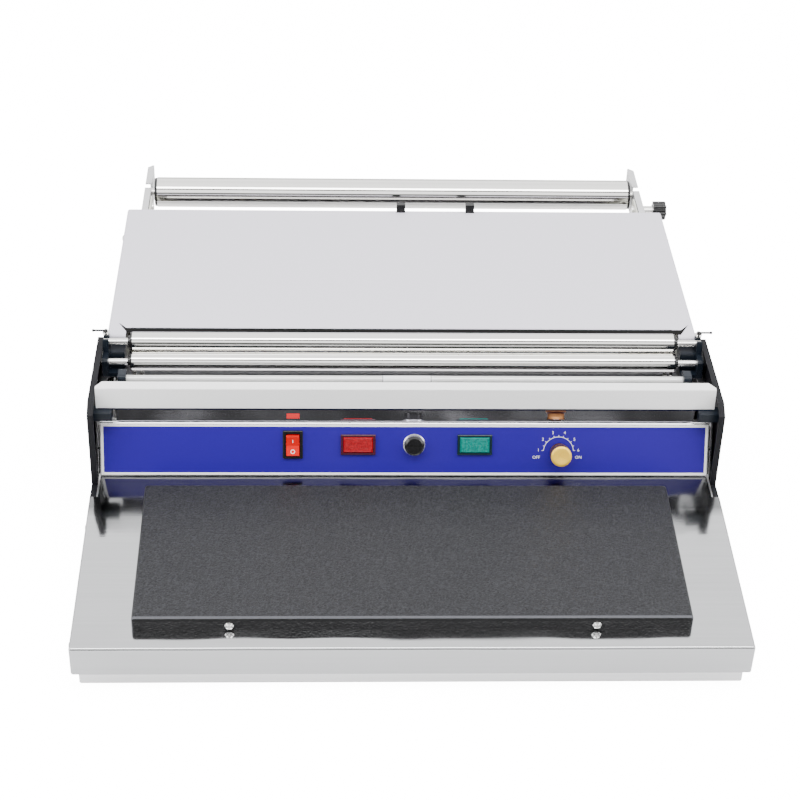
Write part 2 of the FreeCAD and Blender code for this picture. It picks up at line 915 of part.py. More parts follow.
cap.pocket(
    "XY_Plane",
    [centred(as_size(0), as_size(0), 2 * size("fuse_head_radius") + 1, 1.6)],
    cap_high - 1.8,
    cap_high + 1,
)
link = Piece("fuse_link")
link.pad(
    "XY_Plane",
    [],
    cap_low + 4 - size("fuse_link_length"),
    cap_low + 4,
    circles=[(0, 0, size("fuse_link_radius"))],
)


def on_panel_at(piece, x, up):
    """Seat a piece on the panel with its Z axis through a point of the panel's face."""
    along = size("panel_lean")
    return piece.place(x, panel_foot_y + up * sine(along), panel_foot_z + up * cosine(along), panel_turn)


keep("fuse_holder", on_panel_at(holder, fuse_x, row))
keep("fuse_cap", on_panel_at(cap, fuse_x, row))
keep("fuse_link", on_panel_at(link, fuse_x, row))

# Heat regulator behind the panel, its shaft and the knob
knob_row = size("knob_row")
shaft = size("shaft_radius")
shaft_low = -sheet_wall - size("regulator_depth") + 4
knob_low = overlay_top + 2.5
knob_high = overlay_top + size("knob_height")
regulator = Piece("regulator_body")
regulator.pad(
    "XY_Plane",
    [centred(as_size(0), as_size(0), size("regulator_width"), size("regulator_width"))],
    -sheet_wall - size("regulator_depth"),
    -sheet_wall,
)
regulator.round_edges(3, straight_along("z"))
regulator.pad("XY_Plane", [], -sheet_wall, knob_low - gap, circles=[(0, 0, bushing_radius)])
regulator.pocket(
    "XY_Plane", [], shaft_low - gap, knob_low + 1, circles=[(0, 0, shaft + size("pin_fit"))],
)
spindle = Piece("regulator_shaft")
spindle.pad("XY_Plane", [], shaft_low, knob_high - 4, circles=[(0, 0, shaft)])
knob = Piece("knob")
knob_bore = shaft + size("pin_fit")
knob_neck_top = knob_low + size("knob_neck_height")
knob.turn("XZ_Plane", "V_Axis", [
    (knob_bore, knob_low),
    (size("knob_neck_radius") + 0.8, knob_low),
    (size("knob_neck_radius"), knob_low + 1.6),
    (size("knob_neck_radius"), knob_neck_top - 1),
    (size("knob_radius"), knob_neck_top),
    (size("knob_radius"), knob_high - 1.2),
    (size("knob_radius") - 1.2, knob_high),
    (0, knob_high),
    (0, knob_high - 4),
    (knob_bore, knob_high - 4),
])
keep("regulator_body", on_panel_at(regulator, size("knob_place"), knob_row))
keep("regulator_shaft", on_panel_at(spindle, size("knob_place"), knob_row))
keep("knob", on_panel_at(knob, size("knob_place"), knob_row))

# Control box cover: polished visor over the panel, lip, shelf and rear wall
box_half = tray_half - size("box_inset")
visor_low_y = panel_top_y + gap
visor_low_z = panel_top_z + gap
visor_high_z = size("box_top_height")
visor_high_y = panel_top_y - size("visor_overhang")
shelf_step = back(size("shelf_setback"))
shelf_z = size("shelf_height")
box_rear = back(size("box_rear"))
box_low = pan_rim + 2
box_cover = Piece("control_box_cover")
box_cover.pad(
    "YZ_Plane",
    [[
        (visor_low_y, visor_low_z),
        (visor_high_y, visor_high_z),
        (shelf_step, visor_high_z),
        (shelf_step, shelf_z),
        (box_rear, shelf_z),
        (box_rear, box_low),
        (box_rear - sheet_wall, box_low),
        (box_rear - sheet_wall, shelf_z - sheet_wall),
        (shelf_step - sheet_wall, shelf_z - sheet_wall),
        (shelf_step - sheet_wall, visor_high_z - sheet_wall),
        (visor_high_y + 1.5 * sheet_wall, visor_high_z - sheet_wall),
        (visor_low_y + sheet_wall, visor_low_z),
    ]],
    -box_half,
    box_half,
)
keep("control_box_cover", box_cover)

# Steel cheeks at both ends of the control box
cheek_inner = pan_half + gap
cheek_outer = cheek_inner + sheet_wall
cheek_low = size("side_step_height") + 1
cheek_high = panel_top_z
cheek_loop = [
    (panel_foot_y + 1, panel_foot_z),
    (panel_top_y + 1, cheek_high),
    (box_rear, cheek_high),
    (box_rear, cheek_low),
    (panel_foot_y + 1, cheek_low),
]
cheeks = Piece("control_box_sides")
cheeks.pad("YZ_Plane", [cheek_loop], cheek_inner, cheek_outer)
cheeks.pad("YZ_Plane", [cheek_loop], -cheek_outer, -cheek_inner)
keep("control_box_sides", cheeks)

# Guard bar above the visor, with cut corners on its top lip
bar_half = tray_half - size("bar_inset")
bar_front = back(size("bar_setback"))
bar_low = size("box_top_height") + gap
bar_high = bar_low + size("bar_height")
bar_lean = size("bar_lean")
bar_rear = bar_front + size("bar_depth")
bar = Piece("guard_bar")
bar.pad(
    "YZ_Plane",
    [[
        (bar_front, bar_low),
        (bar_front + bar_lean, bar_high),
        (bar_rear, bar_high),
        (bar_rear, bar_high - sheet_wall),
        (bar_front + bar_lean + sheet_wall, bar_high - sheet_wall),
        (bar_front + sheet_wall, bar_low + sheet_wall),
        (bar_rear - 2, bar_low + sheet_wall),
        (bar_rear - 2, bar_low),
    ]],
    -bar_half,
    bar_half,
)
bar.round_edges(
    0.9 * sheet_wall,
    lambda e: straight_along("x")(e) and (
        near(e.BoundBox.YMin, bar_front, 0.1) or near(e.BoundBox.YMin, bar_front + bar_lean, 0.1)
    ),
)
corner = size("bar_corner_cut")
for side in (-1, 1):
    bar.pocket(
        "XY_Plane",
        [[
            (side * (bar_half + 1), bar_rear + 1),
            (side * (bar_half - corner - 1), bar_rear + 1),
            (side * (bar_half - corner), bar_rear),
            (side * (bar_half + 1), bar_rear - 1.7 * corner),
        ]],
        bar_low - 1,
        bar_high + 1,
    )
keep("guard_bar", bar)

# Black blocks under both ends of the guard bar
block_top = bar_low
block_low = block_top - size("end_block_height")
block_outer = side_inner - 0.5
block_front_y = bar_front - 6.3
blocks = Piece("guard_end_blocks")
for side in (-1, 1):
    blocks.pad(
        "XY_Plane",
        [rectangle(
            side * (block_outer - size("end_block_width")),
            block_front_y,
            side * block_outer,
            block_front_y + size("end_block_depth"),
        )],
        block_low,
        block_top,
    )
blocks.round_edges(1, lambda e: straight_along("x")(e) and near(e.BoundBox.YMin, block_front_y))
keep("guard_end_blocks", blocks)

# Heated cutter rod and the two holders that carry it on the shelf
cutter_y = back(size("cutter_setback"))
cutter_z = size("box_top_height") + size("cutter_rise")
cutter_half = tray_half - size("cutter_inset")
cutter = Piece("cutter_rod")
cutter.pad("YZ_Plane", [], -cutter_half, cutter_half, circles=[(cutter_y, cutter_z, size("cutter_radius"))])
keep("cutter_rod", cutter)
holder_inner = cutter_half - 4
holder_outer = holder_inner + size("cutter_holder_width")
holder_half = size("cutter_holder_depth") / 2
holders = Piece("cutter_holders")
for low_x, high_x in ((holder_inner, holder_outer), (-holder_outer, -holder_inner)):
    holders.pad(
        "YZ_Plane",
        [rectangle(cutter_y - holder_half, shelf_z, cutter_y + holder_half, cutter_z + holder_half)],
        low_x,
        high_x,
    )
holders.round_edges(3, lambda e: straight_along("x")(e) and near(e.BoundBox.ZMin, cutter_z + holder_half))
holders.pocket(
    "YZ_Plane",
    [],
    -cutter_half - gap,
    cutter_half + gap,
    circles=[(cutter_y, cutter_z, size("cutter_radius") + size("pin_fit"))],
)
keep("cutter_holders", holders)

# Black side plates: folded upper web, step at the pan rim and lower web on the pan wall
side_t = size("side_sheet")
side_front_y = back(size("side_front"))
side_top = size("side_top_height")
side_step = size("side_step_height")
side_nose = back(size("side_top_front"))
side_tail = back(size("side_top_rear"))
side_heel = back(size("side_foot_rear"))
side_run = (side_heel - side_tail) / (side_top - side_step)
side_level = side_t * 1.4
side_drop = size("side_corner")
upper_loop = [
    (side_front_y, side_step - side_t),
    (side_front_y, side_top - side_drop),
    (side_nose, side_top),
    (side_tail, side_top),
    (side_tail + (side_top - side_step + side_t) * side_run, side_step - side_t),
]
inner_loop = [
    (side_front_y + side_t, side_step),
    (side_front_y + side_t, side_top - side_drop - 0.4 * side_t),
    (side_nose + 0.3 * side_t, side_top - side_t),
    (side_tail - side_level + side_t * side_run, side_top - side_t),
    (side_heel - side_level, side_step),
]
lower_web_front = back(size("side_lower_front"))
ledge_inner = pan_half
side_right = Piece("side_plate_right")
side_right.pad("YZ_Plane", [upper_loop], side_inner - size("side_flange"), side_outer)
side_right.pocket("YZ_Plane", [inner_loop], side_inner - size("side_flange") - 1, side_inner)
side_right.pad(
    "YZ_Plane",
    [rectangle(lower_web_front, side_step - side_t, side_front_y + 1, side_step)],
    ledge_inner,
    side_outer,
)
side_right.pad(
    "YZ_Plane",
    [rectangle(side_front_y, side_step - side_t, side_heel, side_step)],
    ledge_inner,
    side_inner,
)
side_right.pad(
    "YZ_Plane",
    [[
        (lower_web_front, side_step),
        (lower_web_front, side_step - 26),
        (lower_web_front + 14, size("side_lower_edge")),
        (side_heel - 6, size("side_lower_edge")),
        (side_heel, size("side_lower_edge") + 6),
        (side_heel, side_step),
    ]],
    ledge_inner,
    ledge_inner + side_t,
)
side_right.pocket(
    "YZ_Plane",
    [],
    ledge_inner - 1,
    ledge_inner + 2 * side_t,
    circles=[(y, z, clear_radius) for y, z in web_screw_places],
)
keep("side_plate_right", side_right)
keep("side_plate_left", mirrored("side_plate_left", side_right))

# Cross member between the side plates, under the film rollers
cross_top = size("cross_top")
cross_front = cutter_y + holder_half + size("cross_gap")
cross_rear = cross_front + size("cross_depth")
cross_half = side_inner - gap
cross = Piece("cross_member")
cross.pad("XY_Plane", [rectangle(-cross_half, cross_front, cross_half, cross_rear)], cross_top - size("cross_height"), cross_top)
cross.round_edges(size("bend"), lambda e: near(e.BoundBox.ZMin, cross_top) or straight_along("z")(e))
cross.hollow(sheet_wall, faces_along("z", -1))
cross.pocket(
    "XY_Plane",
    [],
    cross_top - 2 * sheet_wall,
    cross_top + 1,
    circles=[
        (side * (cross_half - size("cross_hole_inset")), cross_front + 8, size("cross_hole_radius"))
        for side in (-1, 1)
    ],
)
keep("cross_member", cross)

# Bearing blocks: a foot on the cross member and an upright that holds both roller axles
lower_y, lower_z = back(size("lower_roller_setback")), size("lower_roller_height")
upper_y, upper_z = back(size("upper_roller_setback")), size("upper_roller_height")
axle = size("axle_radius")
axle_bore = axle + size("pin_fit")
tower_inner = tray_half - size("block_inset")
bridge_inner = tray_half - size("bridge_inset")
tower_outer = tower_inner + size("block_tower")
block_front = back(size("block_front"))
block_rear = back(size("block_rear"))
tower_top = size("tower_height")
bearing = Piece("bearing_block_right")
bearing.pad(
    "YZ_Plane",
    [[
        (block_front, cross_top),
        (block_rear, cross_top),
        (block_rear, tower_top),
        (back(size("tower_setback")), tower_top),
        (back(size("tower_setback")) - 2, lower_z + 6),
        (block_front + 2, lower_z + 6),
        (block_front, lower_z + 4),
    ]],
    tower_inner,
    tower_outer,
)
bearing.pad(
    "YZ_Plane",
    [rectangle(back(size("bridge_setback")), cross_top, block_rear, cross_top + size("bridge_height"))],
    bridge_inner,
    tower_inner,
)
bearing.pad(
    "YZ_Plane",
    [rectangle(block_front, cross_top, back(size("bridge_setback")), lower_z - size("roller_radius") + 1)],
    bridge_inner,
    tower_inner,
)
post_x = tower_outer - size("latch_post_margin")
post_y = block_rear - size("latch_post_margin")
post_low = tower_top - size("latch_post_length")
post_bore = size("latch_post_radius") + size("pin_fit")
bearing.pocket("YZ_Plane", [], tower_inner - 1, tower_outer + 1, circles=[(lower_y, lower_z, axle_bore)])
bearing.pocket("YZ_Plane", [], tower_inner - 1, tower_outer + 1, circles=[(upper_y, upper_z, axle_bore)])
bearing.pocket(
    "YZ_Plane",
    [rectangle(upper_y - axle_bore, upper_z, upper_y + axle_bore, tower_top + 1)],
    tower_inner - 1,
    tower_outer + 1,
)
bearing.pocket("XY_Plane", [], post_low - gap, tower_top + 1, circles=[(post_x, post_y, post_bore)])
keep("bearing_block_right", bearing)
keep("bearing_block_left", mirrored("bearing_block_left", bearing))

# Latch levers: a post in the bearing block with a bent handle that swings over the upper axle
lever = Piece("latch_lever_right")
handle_z = tower_top + size("latch_rise") + size("latch_rod_radius")
lever_tip = size("overall_width") / 2
handle_end = lever_tip - size("latch_ball_radius")
lever.pad(
    "XY_Plane",
    [],
    post_low,
    handle_z + size("latch_rod_radius"),
    circles=[(post_x, post_y, size("latch_post_radius"))],
)
lever.pad("YZ_Plane", [], post_x, handle_end, circles=[(post_y, handle_z, size("latch_rod_radius"))])
ball = lever.feature("PartDesign::AdditiveSphere")
ball.setExpression("Radius", size("latch_ball_radius").formula)
ball.AttachmentSupport = [([i for i in lever.body.Origin.OriginFeatures if i.Role == "XY_Plane"][0], "")]
ball.MapMode = "FlatFace"
ball.setExpression("AttachmentOffset.Base.x", handle_end.formula)
ball.setExpression("AttachmentOffset.Base.y", post_y.formula)
ball.setExpression("AttachmentOffset.Base.z", handle_z.formula)
lever.finish(ball)
keep("latch_lever_right", lever)
keep("latch_lever_left", mirrored("latch_lever_left", lever))


def film_roller(name, y, z):
    """A chromed tube with a plug, an end ring and a cream bush at both ends, on a fixed axle."""
    half = tray_half - size("roller_inset")
    radius = size("roller_radius")
    bore = radius - size("roller_wall")
    tube = Piece(f"{name}_roller")
    tube.turn("XZ_Plane", "H_Axis", [(-half, bore), (half, bore), (half, radius), (-half, radius)])
    keep(f"{name}_roller", tube.place(0, y, z))
    ends = Piece(f"{name}_roller_ends")
    plug = half - size("bush_plug")
    ring = half + size("roller_cap")
    face = ring + size("roller_bush")
    right = [
        (plug, axle_bore),
        (plug, bore - size("pin_fit")),
        (half, bore - size("pin_fit")),
        (half, radius - 0.3),
        (ring, radius - 0.3),
        (ring, size("bush_radius")),
        (face, size("bush_radius")),
        (face, axle_bore),
    ]
    ends.turn("XZ_Plane", "H_Axis", right)
    ends.turn("XZ_Plane", "H_Axis", [(-as_size(u), r) for u, r in right])
    keep(f"{name}_roller_ends", ends.place(0, y, z))
    rod = Piece(f"{name}_axle")
    reach_x = tray_half - size("axle_inset")
    rod.pad("YZ_Plane", [], -reach_x, reach_x, circles=[(0, 0, axle)])
    keep(f"{name}_axle", rod.place(0, y, z))


film_roller("upper", upper_y, upper_z)
film_roller("lower", lower_y, lower_z)

# Wrap table cover: folded sheet with a notch at the front between two ears
cover_half = tray_half - size("cover_inset")
cover_top = size("cover_height")
ear_front = back(size("cover_ear_front"))
cover_front = back(size("cover_front"))
cover_rear = ahead(size("cover_rear_inset"))
ear_inner = cover_half - size("cover_ear_width")
cover_lip = size("cover_front_flange")
cover = Piece("cover")
cover.pad(
    "XY_Plane",
    [rectangle(-cover_half, ear_front, cover_half, cover_rear)],
    cover_top - size("cover_flange"),
    cover_top,
)
cover.round_edges(size("bend"), lambda e: near(e.BoundBox.ZMin, cover_top) or straight_along("z")(e))
cover.hollow(sheet_wall, faces_along("z", -1))
cover.pocket(
    "XY_Plane",
    [[
        (-ear_inner, ear_front - 1),
        (ear_inner, ear_front - 1),
        (ear_inner, cover_front - size("cover_relief")),
        (ear_inner - size("cover_relief"), cover_front),
        (-ear_inner + size("cover_relief"), cover_front),
        (-ear_inner, cover_front - size("cover_relief")),
    ]],
    cover_top - size("cover_flange") - 1,
    cover_top + 1,
)
lip_half = ear_inner - size("cover_relief")
cover.pad(
    "XY_Plane",
    [rectangle(-lip_half, cover_front, lip_half, cover_front + sheet_wall)],
    cover_top - cover_lip,
    cover_top,
)
cover.round_edges(
    sheet_wall,
    lambda e: near(e.BoundBox.ZMin, cover_top) and near(e.BoundBox.YMax, cover_front) and straight_along("x")(e),
)
cover.pocket(
    "XY_Plane",
    [rectangle(-cover_half - 1, ear_front - 1, cover_half + 1, back(size("rear_side_front") - 8))],
    cover_top - size("cover_flange") - 1,
    cover_top - cover_lip,
)
open_half = cover_half - size("bend") - 2
cover.pocket(
    "XY_Plane",
    [rectangle(-open_half, cover_rear - 2 * sheet_wall, open_half, cover_rear + 1)],
    cover_top - size("cover_flange") - 1,
    cover_top - cover_lip,
)
cover_screw_places = [(ahead(size("cover_screw_inset")), cover_top - size("cover_screw_drop"))]
cover.pocket(
    "YZ_Plane",
    [],
    -cover_half - 1,
    cover_half + 1,
    circles=[(y, z, clear_radius) for y, z in cover_screw_places],
)
keep("cover", cover)

# Two black clips hooked over the rear edge of the cover
clips = Piece("cover_clips")
clip_half = size("clip_width") / 2
for side in (-1, 1):
    middle = size("clip_place") + side * size("clip_spacing") / 2
    clips.pad(
        "YZ_Plane",
        [[
            (cover_rear - 5, cover_top),
            (cover_rear, cover_top),
            (cover_rear, cover_top - size("cover_front_flange")),
            (cover_rear + 2, cover_top - size("cover_front_flange")),
            (cover_rear + 2, cover_top + size("clip_height")),
            (cover_rear - 3, cover_top + size("clip_height")),
        ]],
        middle - clip_half,
        middle + clip_half,
    )
keep("cover_clips", clips)

# Rear side plates that stand on the pan floor and carry the cover
rear_outer = cover_half - sheet_wall - gap
rear_side_front = back(size("rear_side_front"))
rear_side_rear = ahead(size("rear_side_inset"))
rear_side_top = cover_top - size("bend") - gap
rear_side = Piece("rear_side_right")
rear_side.pad(
    "YZ_Plane",
    [[
        (rear_side_front, pan_floor),
        (rear_side_rear, pan_floor),
        (rear_side_rear, rear_side_top),
        (rear_side_front, rear_side_top),
    ]],
    rear_outer - sheet_wall,
    rear_outer,
)
rear_side.round_edges(2 * size("bend"), lambda e: straight_along("x")(e) and near(e.BoundBox.ZMin, rear_side_top))
rear_side.pad(
    "XY_Plane",
    [rectangle(rear_outer - size("foot_flange"), rear_side_front, rear_outer, rear_side_rear)],
    pan_floor,
    pan_floor + sheet_wall,
)
rear_side.pocket(
    "YZ_Plane",
    [],
    rear_outer - 2 * sheet_wall,
    rear_outer + 1,
    circles=[(y, z, clear_radius) for y, z in cover_screw_places],
)
keep("rear_side_right", rear_side)
keep("rear_side_left", mirrored("rear_side_left", rear_side))

# Cradle frames: upright sheets on the pan floor with a tail that reaches out at the rear
frame_inner = tray_half - size("frame_inset")
frame_outer = frame_inner + sheet_wall
frame_front = ahead(size("frame_front_inset"))
frame_step = ahead(size("frame_step_inset"))
frame_rear = ahead(size("frame_rear_inset"))
frame_top = size("frame_top")
frame_tail = frame_top - size("frame_tail_height")
cradle_y, cradle_z = ahead(size("cradle_rear_inset")), size("cradle_height")
stud_y, guide_y, pin_z = ahead(size("stud_rear_inset")), ahead(size("guide_rear_inset")), size("stud_height")
stud_radius = size("stud_radius")
frame = Piece("cradle_frame_right")
frame.pad(
    "YZ_Plane",
    [[
        (frame_front, pan_floor),
        (frame_step, pan_floor),
        (frame_step, frame_tail),
        (frame_rear, frame_tail),
        (frame_rear, frame_top),
        (frame_front, frame_top),
    ]],
    frame_inner,
    frame_outer,
)
frame.round_edges(6, lambda e: straight_along("x")(e) and near(e.BoundBox.YMin, frame_rear))
frame.pad(
    "XY_Plane",
    [rectangle(frame_inner - size("foot_flange"), frame_front, frame_outer, frame_step)],
    pan_floor,
    pan_floor + sheet_wall,
)
frame.pocket(
    "YZ_Plane",
    [],
    frame_inner - 1,
    frame_outer + 1,
    circles=[
        (cradle_y, cradle_z, axle_bore),
        (stud_y, pin_z, stud_radius + size("pin_fit")),
        (guide_y, pin_z, stud_radius + size("pin_fit")),
    ],
)
keep("cradle_frame_right", frame)
keep("cradle_frame_left", mirrored("cradle_frame_left", frame))

# Cradle roller between the frames, on its own axle
cradle_half = tray_half - size("cradle_inset")
cradle_r = size("cradle_radius")
cradle_bore = cradle_r - size("cradle_wall")
hub = size("cradle_hub")
drum = Piece("cradle_roller")
drum.turn("XZ_Plane", "H_Axis", [
    (-cradle_half, axle_bore),
    (-cradle_half, cradle_r),
    (cradle_half, cradle_r),
    (cradle_half, axle_bore),
    (cradle_half - hub, axle_bore),
    (cradle_half - hub, cradle_bore),
    (-cradle_half + hub, cradle_bore),
    (-cradle_half + hub, axle_bore),
])
keep("cradle_roller", drum.place(0, cradle_y, cradle_z))
cradle_rod = Piece("cradle_axle")
cradle_rod.pad("YZ_Plane", [], -frame_outer, frame_outer, circles=[(0, 0, axle)])
keep("cradle_axle", cradle_rod.place(0, cradle_y, cradle_z))

# Slide arms: webs with an outward top flange, two slots and an open notch for the rear axle
arm_inner = frame_outer + 1
arm_outer = arm_inner + size("side_sheet")
arm_front = ahead(size("arm_length"))
arm_rear = back(size("overall_depth"))
arm_top = size("arm_top")
arm_low = arm_top - size("arm_height")
axle_y, axle_z = ahead(size("rear_axle_inset")), size("rear_roller_height")
slot_radius = stud_radius + gap
arm = Piece("slide_arm_right")
arm.pad("YZ_Plane", [rectangle(arm_front, arm_low, arm_rear, arm_top)], arm_inner, arm_outer)
arm.pad(
    "YZ_Plane",
    [rectangle(arm_front, arm_top - sheet_wall, arm_rear, arm_top)],
    arm_outer,
    arm_inner + size("arm_flange"),
)
arm.round_edges(
    size("arm_tip_radius"),
    lambda e: straight_along("x")(e) and near(e.BoundBox.YMin, arm_rear) and near(e.BoundBox.ZMax, arm_low),
)
arm.pocket(
    "XY_Plane",
    [[
        (arm_outer + 0.5, arm_rear + 1),
        (arm_inner + size("arm_flange") + 1, arm_rear + 1),
        (arm_inner + size("arm_flange") + 1, arm_rear - 5),
        (arm_outer + 0.5, arm_rear - 0.5),
    ]],
    arm_top - 2 * sheet_wall,
    arm_top + 1,
)
for slot_y in (guide_y, stud_y):
    ends = (slot_y - size("arm_travel"), slot_y)
    arm.pocket(
        "YZ_Plane",
        [rectangle(ends[0], pin_z - slot_radius, ends[1], pin_z + slot_radius)],
        arm_inner - 1,
        arm_outer + 1,
    )
    arm.pocket(
        "YZ_Plane",
        [],
        arm_inner - 1,
        arm_outer + 1,
        circles=[(end, pin_z, slot_radius) for end in ends],
    )
rear_axle_r = size("rear_axle_radius")
notch = rear_axle_r + size("pin_fit")
arm.pocket("YZ_Plane", [], arm_inner - 1, arm_outer + 1, circles=[(axle_y, axle_z, notch)])
arm.pocket(
    "YZ_Plane",
    [rectangle(axle_y - notch, axle_z, axle_y + notch, arm_top + 1)],
    arm_inner - 1,
    arm_inner + size("arm_flange") + 1,
)
keep("slide_arm_right", arm)
keep("slide_arm_left", mirrored("slide_arm_left", arm))

# Rear roller on its axle between the arms
rear_half = tray_half - size("rear_roller_inset")
rear_r = size("rear_radius")
rear_bore = rear_r - size("cradle_wall")
rear_tube = Piece("rear_roller")
rear_tube.turn("XZ_Plane", "H_Axis", [
    (-rear_half, rear_bore),
    (rear_half, rear_bore),
    (rear_half, rear_r),
    (-rear_half, rear_r),
])
keep("rear_roller", rear_tube.place(0, axle_y, axle_z))
rear_ends = Piece("rear_roller_ends")
rear_face = rear_half + size("rear_cap")
rear_plug = [
    (rear_half - size("bush_plug"), notch),
    (rear_half - size("bush_plug"), rear_bore - size("pin_fit")),
    (rear_half, rear_bore - size("pin_fit")),
    (rear_half, rear_r - 0.3),
    (rear_face, rear_r - 0.8),
    (rear_face, notch),
]
rear_ends.turn("XZ_Plane", "H_Axis", rear_plug)
rear_ends.turn("XZ_Plane", "H_Axis", [(-as_size(u), r) for u, r in rear_plug])
keep("rear_roller_ends", rear_ends.place(0, axle_y, axle_z))
rear_rod = Piece("rear_axle")
rear_reach = arm_outer + 3
rear_rod.pad("YZ_Plane", [], -rear_reach, rear_reach, circles=[(0, 0, rear_axle_r)])
rear_rod.cut_corners(0.8, lambda e: e.BoundBox.XLength < 0.01)
keep("rear_axle", rear_rod.place(0, axle_y, axle_z))

# Guide pins and studs that carry the arms on the cradle frames
pins = Piece("carriage_pins")
pin_head = arm_outer + 0.5
for side in (-1, 1):
    def span(low, high, circles):
        ends = (low, high) if side > 0 else (-high, -low)
        pins.pad("YZ_Plane", [], *ends, circles=circles)

    span(frame_inner - 2, frame_inner, [(guide_y, pin_z, stud_radius + 1.8), (stud_y, pin_z, stud_radius + 1.8)])
    span(frame_inner, pin_head, [(guide_y, pin_z, stud_radius), (stud_y, pin_z, stud_radius)])
    span(pin_head, pin_head + 2, [(guide_y, pin_z, stud_radius + 1.8), (stud_y, pin_z, stud_radius + 1.8)])
star_inner = size("overall_width") / 2 - size("star_thickness")
stud_end = star_inner + size("star_thickness") - 3
pins.pad("YZ_Plane", [], pin_head + 2, star_inner - gap, circles=[(stud_y, pin_z, size("ferrule_radius") - 0.6)])
pins.pad("YZ_Plane", [], star_inner - gap, stud_end, circles=[(stud_y, pin_z, stud_radius)])
pins.pad("YZ_Plane", [], -pin_head - 5, -pin_head - 2, circles=[(stud_y, pin_z, stud_radius - 0.6)])
keep("carriage_pins", pins)

# Star knob on the right stud: a core with lobes turned about the stud
star = Piece("star_knob")
lobe = size("star_radius") * 0.27
core = size("star_radius") * 0.8
star_outer = star_inner + size("star_thickness")
star.pad("YZ_Plane", [], star_inner, star_outer, circles=[(0, 0, core)])
lobes = star.pad("YZ_Plane", [], star_inner, star_outer, circles=[(size("star_radius") - lobe, 0, lobe)])
pattern = star.feature("PartDesign::PolarPattern")
pattern.Originals = [lobes]
pattern.Axis = (lobes.Profile[0], ["N_Axis"])
pattern.Angle = 360
pattern.Occurrences = 6
star.finish(pattern)
star.cut_corners(1, lambda e: near(e.BoundBox.XMin, star_outer))
star.pocket("YZ_Plane", [], star_inner - 1, stud_end + gap, circles=[(0, 0, stud_radius + size("pin_fit"))])
keep("star_knob", star.place(0, stud_y, pin_z))

# Transformer on the pan floor: laminated core and coil
trafo_x, trafo_y = size("supply_inset") - pan_half, back(size("transformer_setback"))
limb = size("transformer_limb")
trafo_half = size("transformer_width") / 2
stack_half = size("transformer_stack") / 2
trafo_top = pan_floor + size("transformer_height")
window_low, window_high = pan_floor + limb, trafo_top - limb
core_piece = Piece("transformer_core")
core_piece.pad(
    "XZ_Plane",
    [
        rectangle(trafo_x - trafo_half, pan_floor, trafo_x + trafo_half, trafo_top),
        rectangle(trafo_x - trafo_half + limb, window_low, trafo_x - limb, window_high),
        rectangle(trafo_x + limb, window_low, trafo_x + trafo_half - limb, window_high),
    ],
    trafo_y - stack_half,
    trafo_y + stack_half,
)
keep("transformer_core", core_piece)
coil = Piece("transformer_coil")
coil_half = trafo_half - limb - gap
coil.pad(
    "XY_Plane",
    [
        centred(trafo_x, trafo_y, 2 * coil_half, 2 * (stack_half + coil_half - limb)),
        centred(trafo_x, trafo_y, 2 * (limb + gap), 2 * (stack_half + gap)),
    ],
    window_low + gap,
    window_high - gap,
)
keep("transformer_coil", coil)

# Terminal block on the pan floor
pitch = size("terminal_pitch")
terminal_x, terminal_y = pan_half - size("supply_inset"), back(size("terminal_setback"))
terminal = Piece("terminal_block")
terminal.pad(
    "XY_Plane",
    [centred(terminal_x, terminal_y, 5 * pitch, size("terminal_depth"))],
    pan_floor,
    pan_floor + size("terminal_height"),
)
wire_hole = terminal.pocket(
    "XZ_Plane",
    [],
    terminal_y - size("terminal_depth"),
    terminal_y + size("terminal_depth"),
    circles=[(terminal_x - 2 * pitch, pan_floor + 4.5, 1.9)],
)
screw_hole = terminal.pocket(
    "XY_Plane",
    [],
    pan_floor + 4.5,
    pan_floor + size("terminal_height") + 1,
    circles=[(terminal_x - 2 * pitch, terminal_y, 2.1)],
)
terminal.repeat([wire_hole, screw_hole], "XZ_Plane", [("H_Axis", 4 * pitch, 5)])
keep("terminal_block", terminal)

# Supply inlet bushing in the rear wall of the pan
inlet = Piece("power_inlet")
wall_y = back(pan_rear)
inlet.pad(
    "XZ_Plane",
    [],
    wall_y,
    wall_y + size("gland_length") / 2,
    circles=[(inlet_x, inlet_z, size("gland_radius"))],
)
inlet.pad(
    "XZ_Plane",
    [],
    wall_y - size("gland_length") / 2,
    wall_y,
    circles=[(inlet_x, inlet_z, size("gland_radius") - 2)],
)
inlet.pocket(
    "XZ_Plane",
    [],
    wall_y - size("gland_length"),
    wall_y + size("gland_length"),
    circles=[(inlet_x, inlet_z, size("gland_bore"))],
)
inlet.round_edges(1, lambda e: near(e.BoundBox.YMin, wall_y + size("gland_length") / 2) and e.Length > 40)
keep("power_inlet", inlet)

# Pan head screws, all alike: one turned shape seated wherever a screw sits
screw = Piece("screw_shape")
head_r, head_h = size("screw_head_radius"), size("screw_head_height")
screw.turn("XZ_Plane", "H_Axis", [
    (-size("screw_length"), 0),
    (-size("screw_length"), size("screw_radius")),
    (0, size("screw_radius")),
    (0, head_r),
    (0.35 * head_h, head_r),
    (0.75 * head_h, 0.8 * head_r),
    (head_h, 0.45 * head_r),
    (head_h, 0),
])
screw.pocket(
    "YZ_Plane",
    [centred(as_size(0), as_size(0), 0.5, 1.1 * head_r), ],
    0.5 * head_h,
    head_h + 1,
)
SCREW_SEATS = []
for side in (-1, 1):
    for y, z in web_screw_places:
        SCREW_SEATS.append((side * (ledge_inner + side_t), y, z, side, 0))
    for y, z in cover_screw_places:
        SCREW_SEATS.append((side * cover_half, y, z, side, 0))
    for place in tray_screw_places:
        SCREW_SEATS.append((side * tray_half, place[0], place[1], side, 0))
seat_y = back(-tray_nose) + plate_front * cosine(slope) - size("plate_screw_height") * sine(slope)
seat_z = tray_top(-tray_nose) + plate_front * sine(slope) + size("plate_screw_height") * cosine(slope)
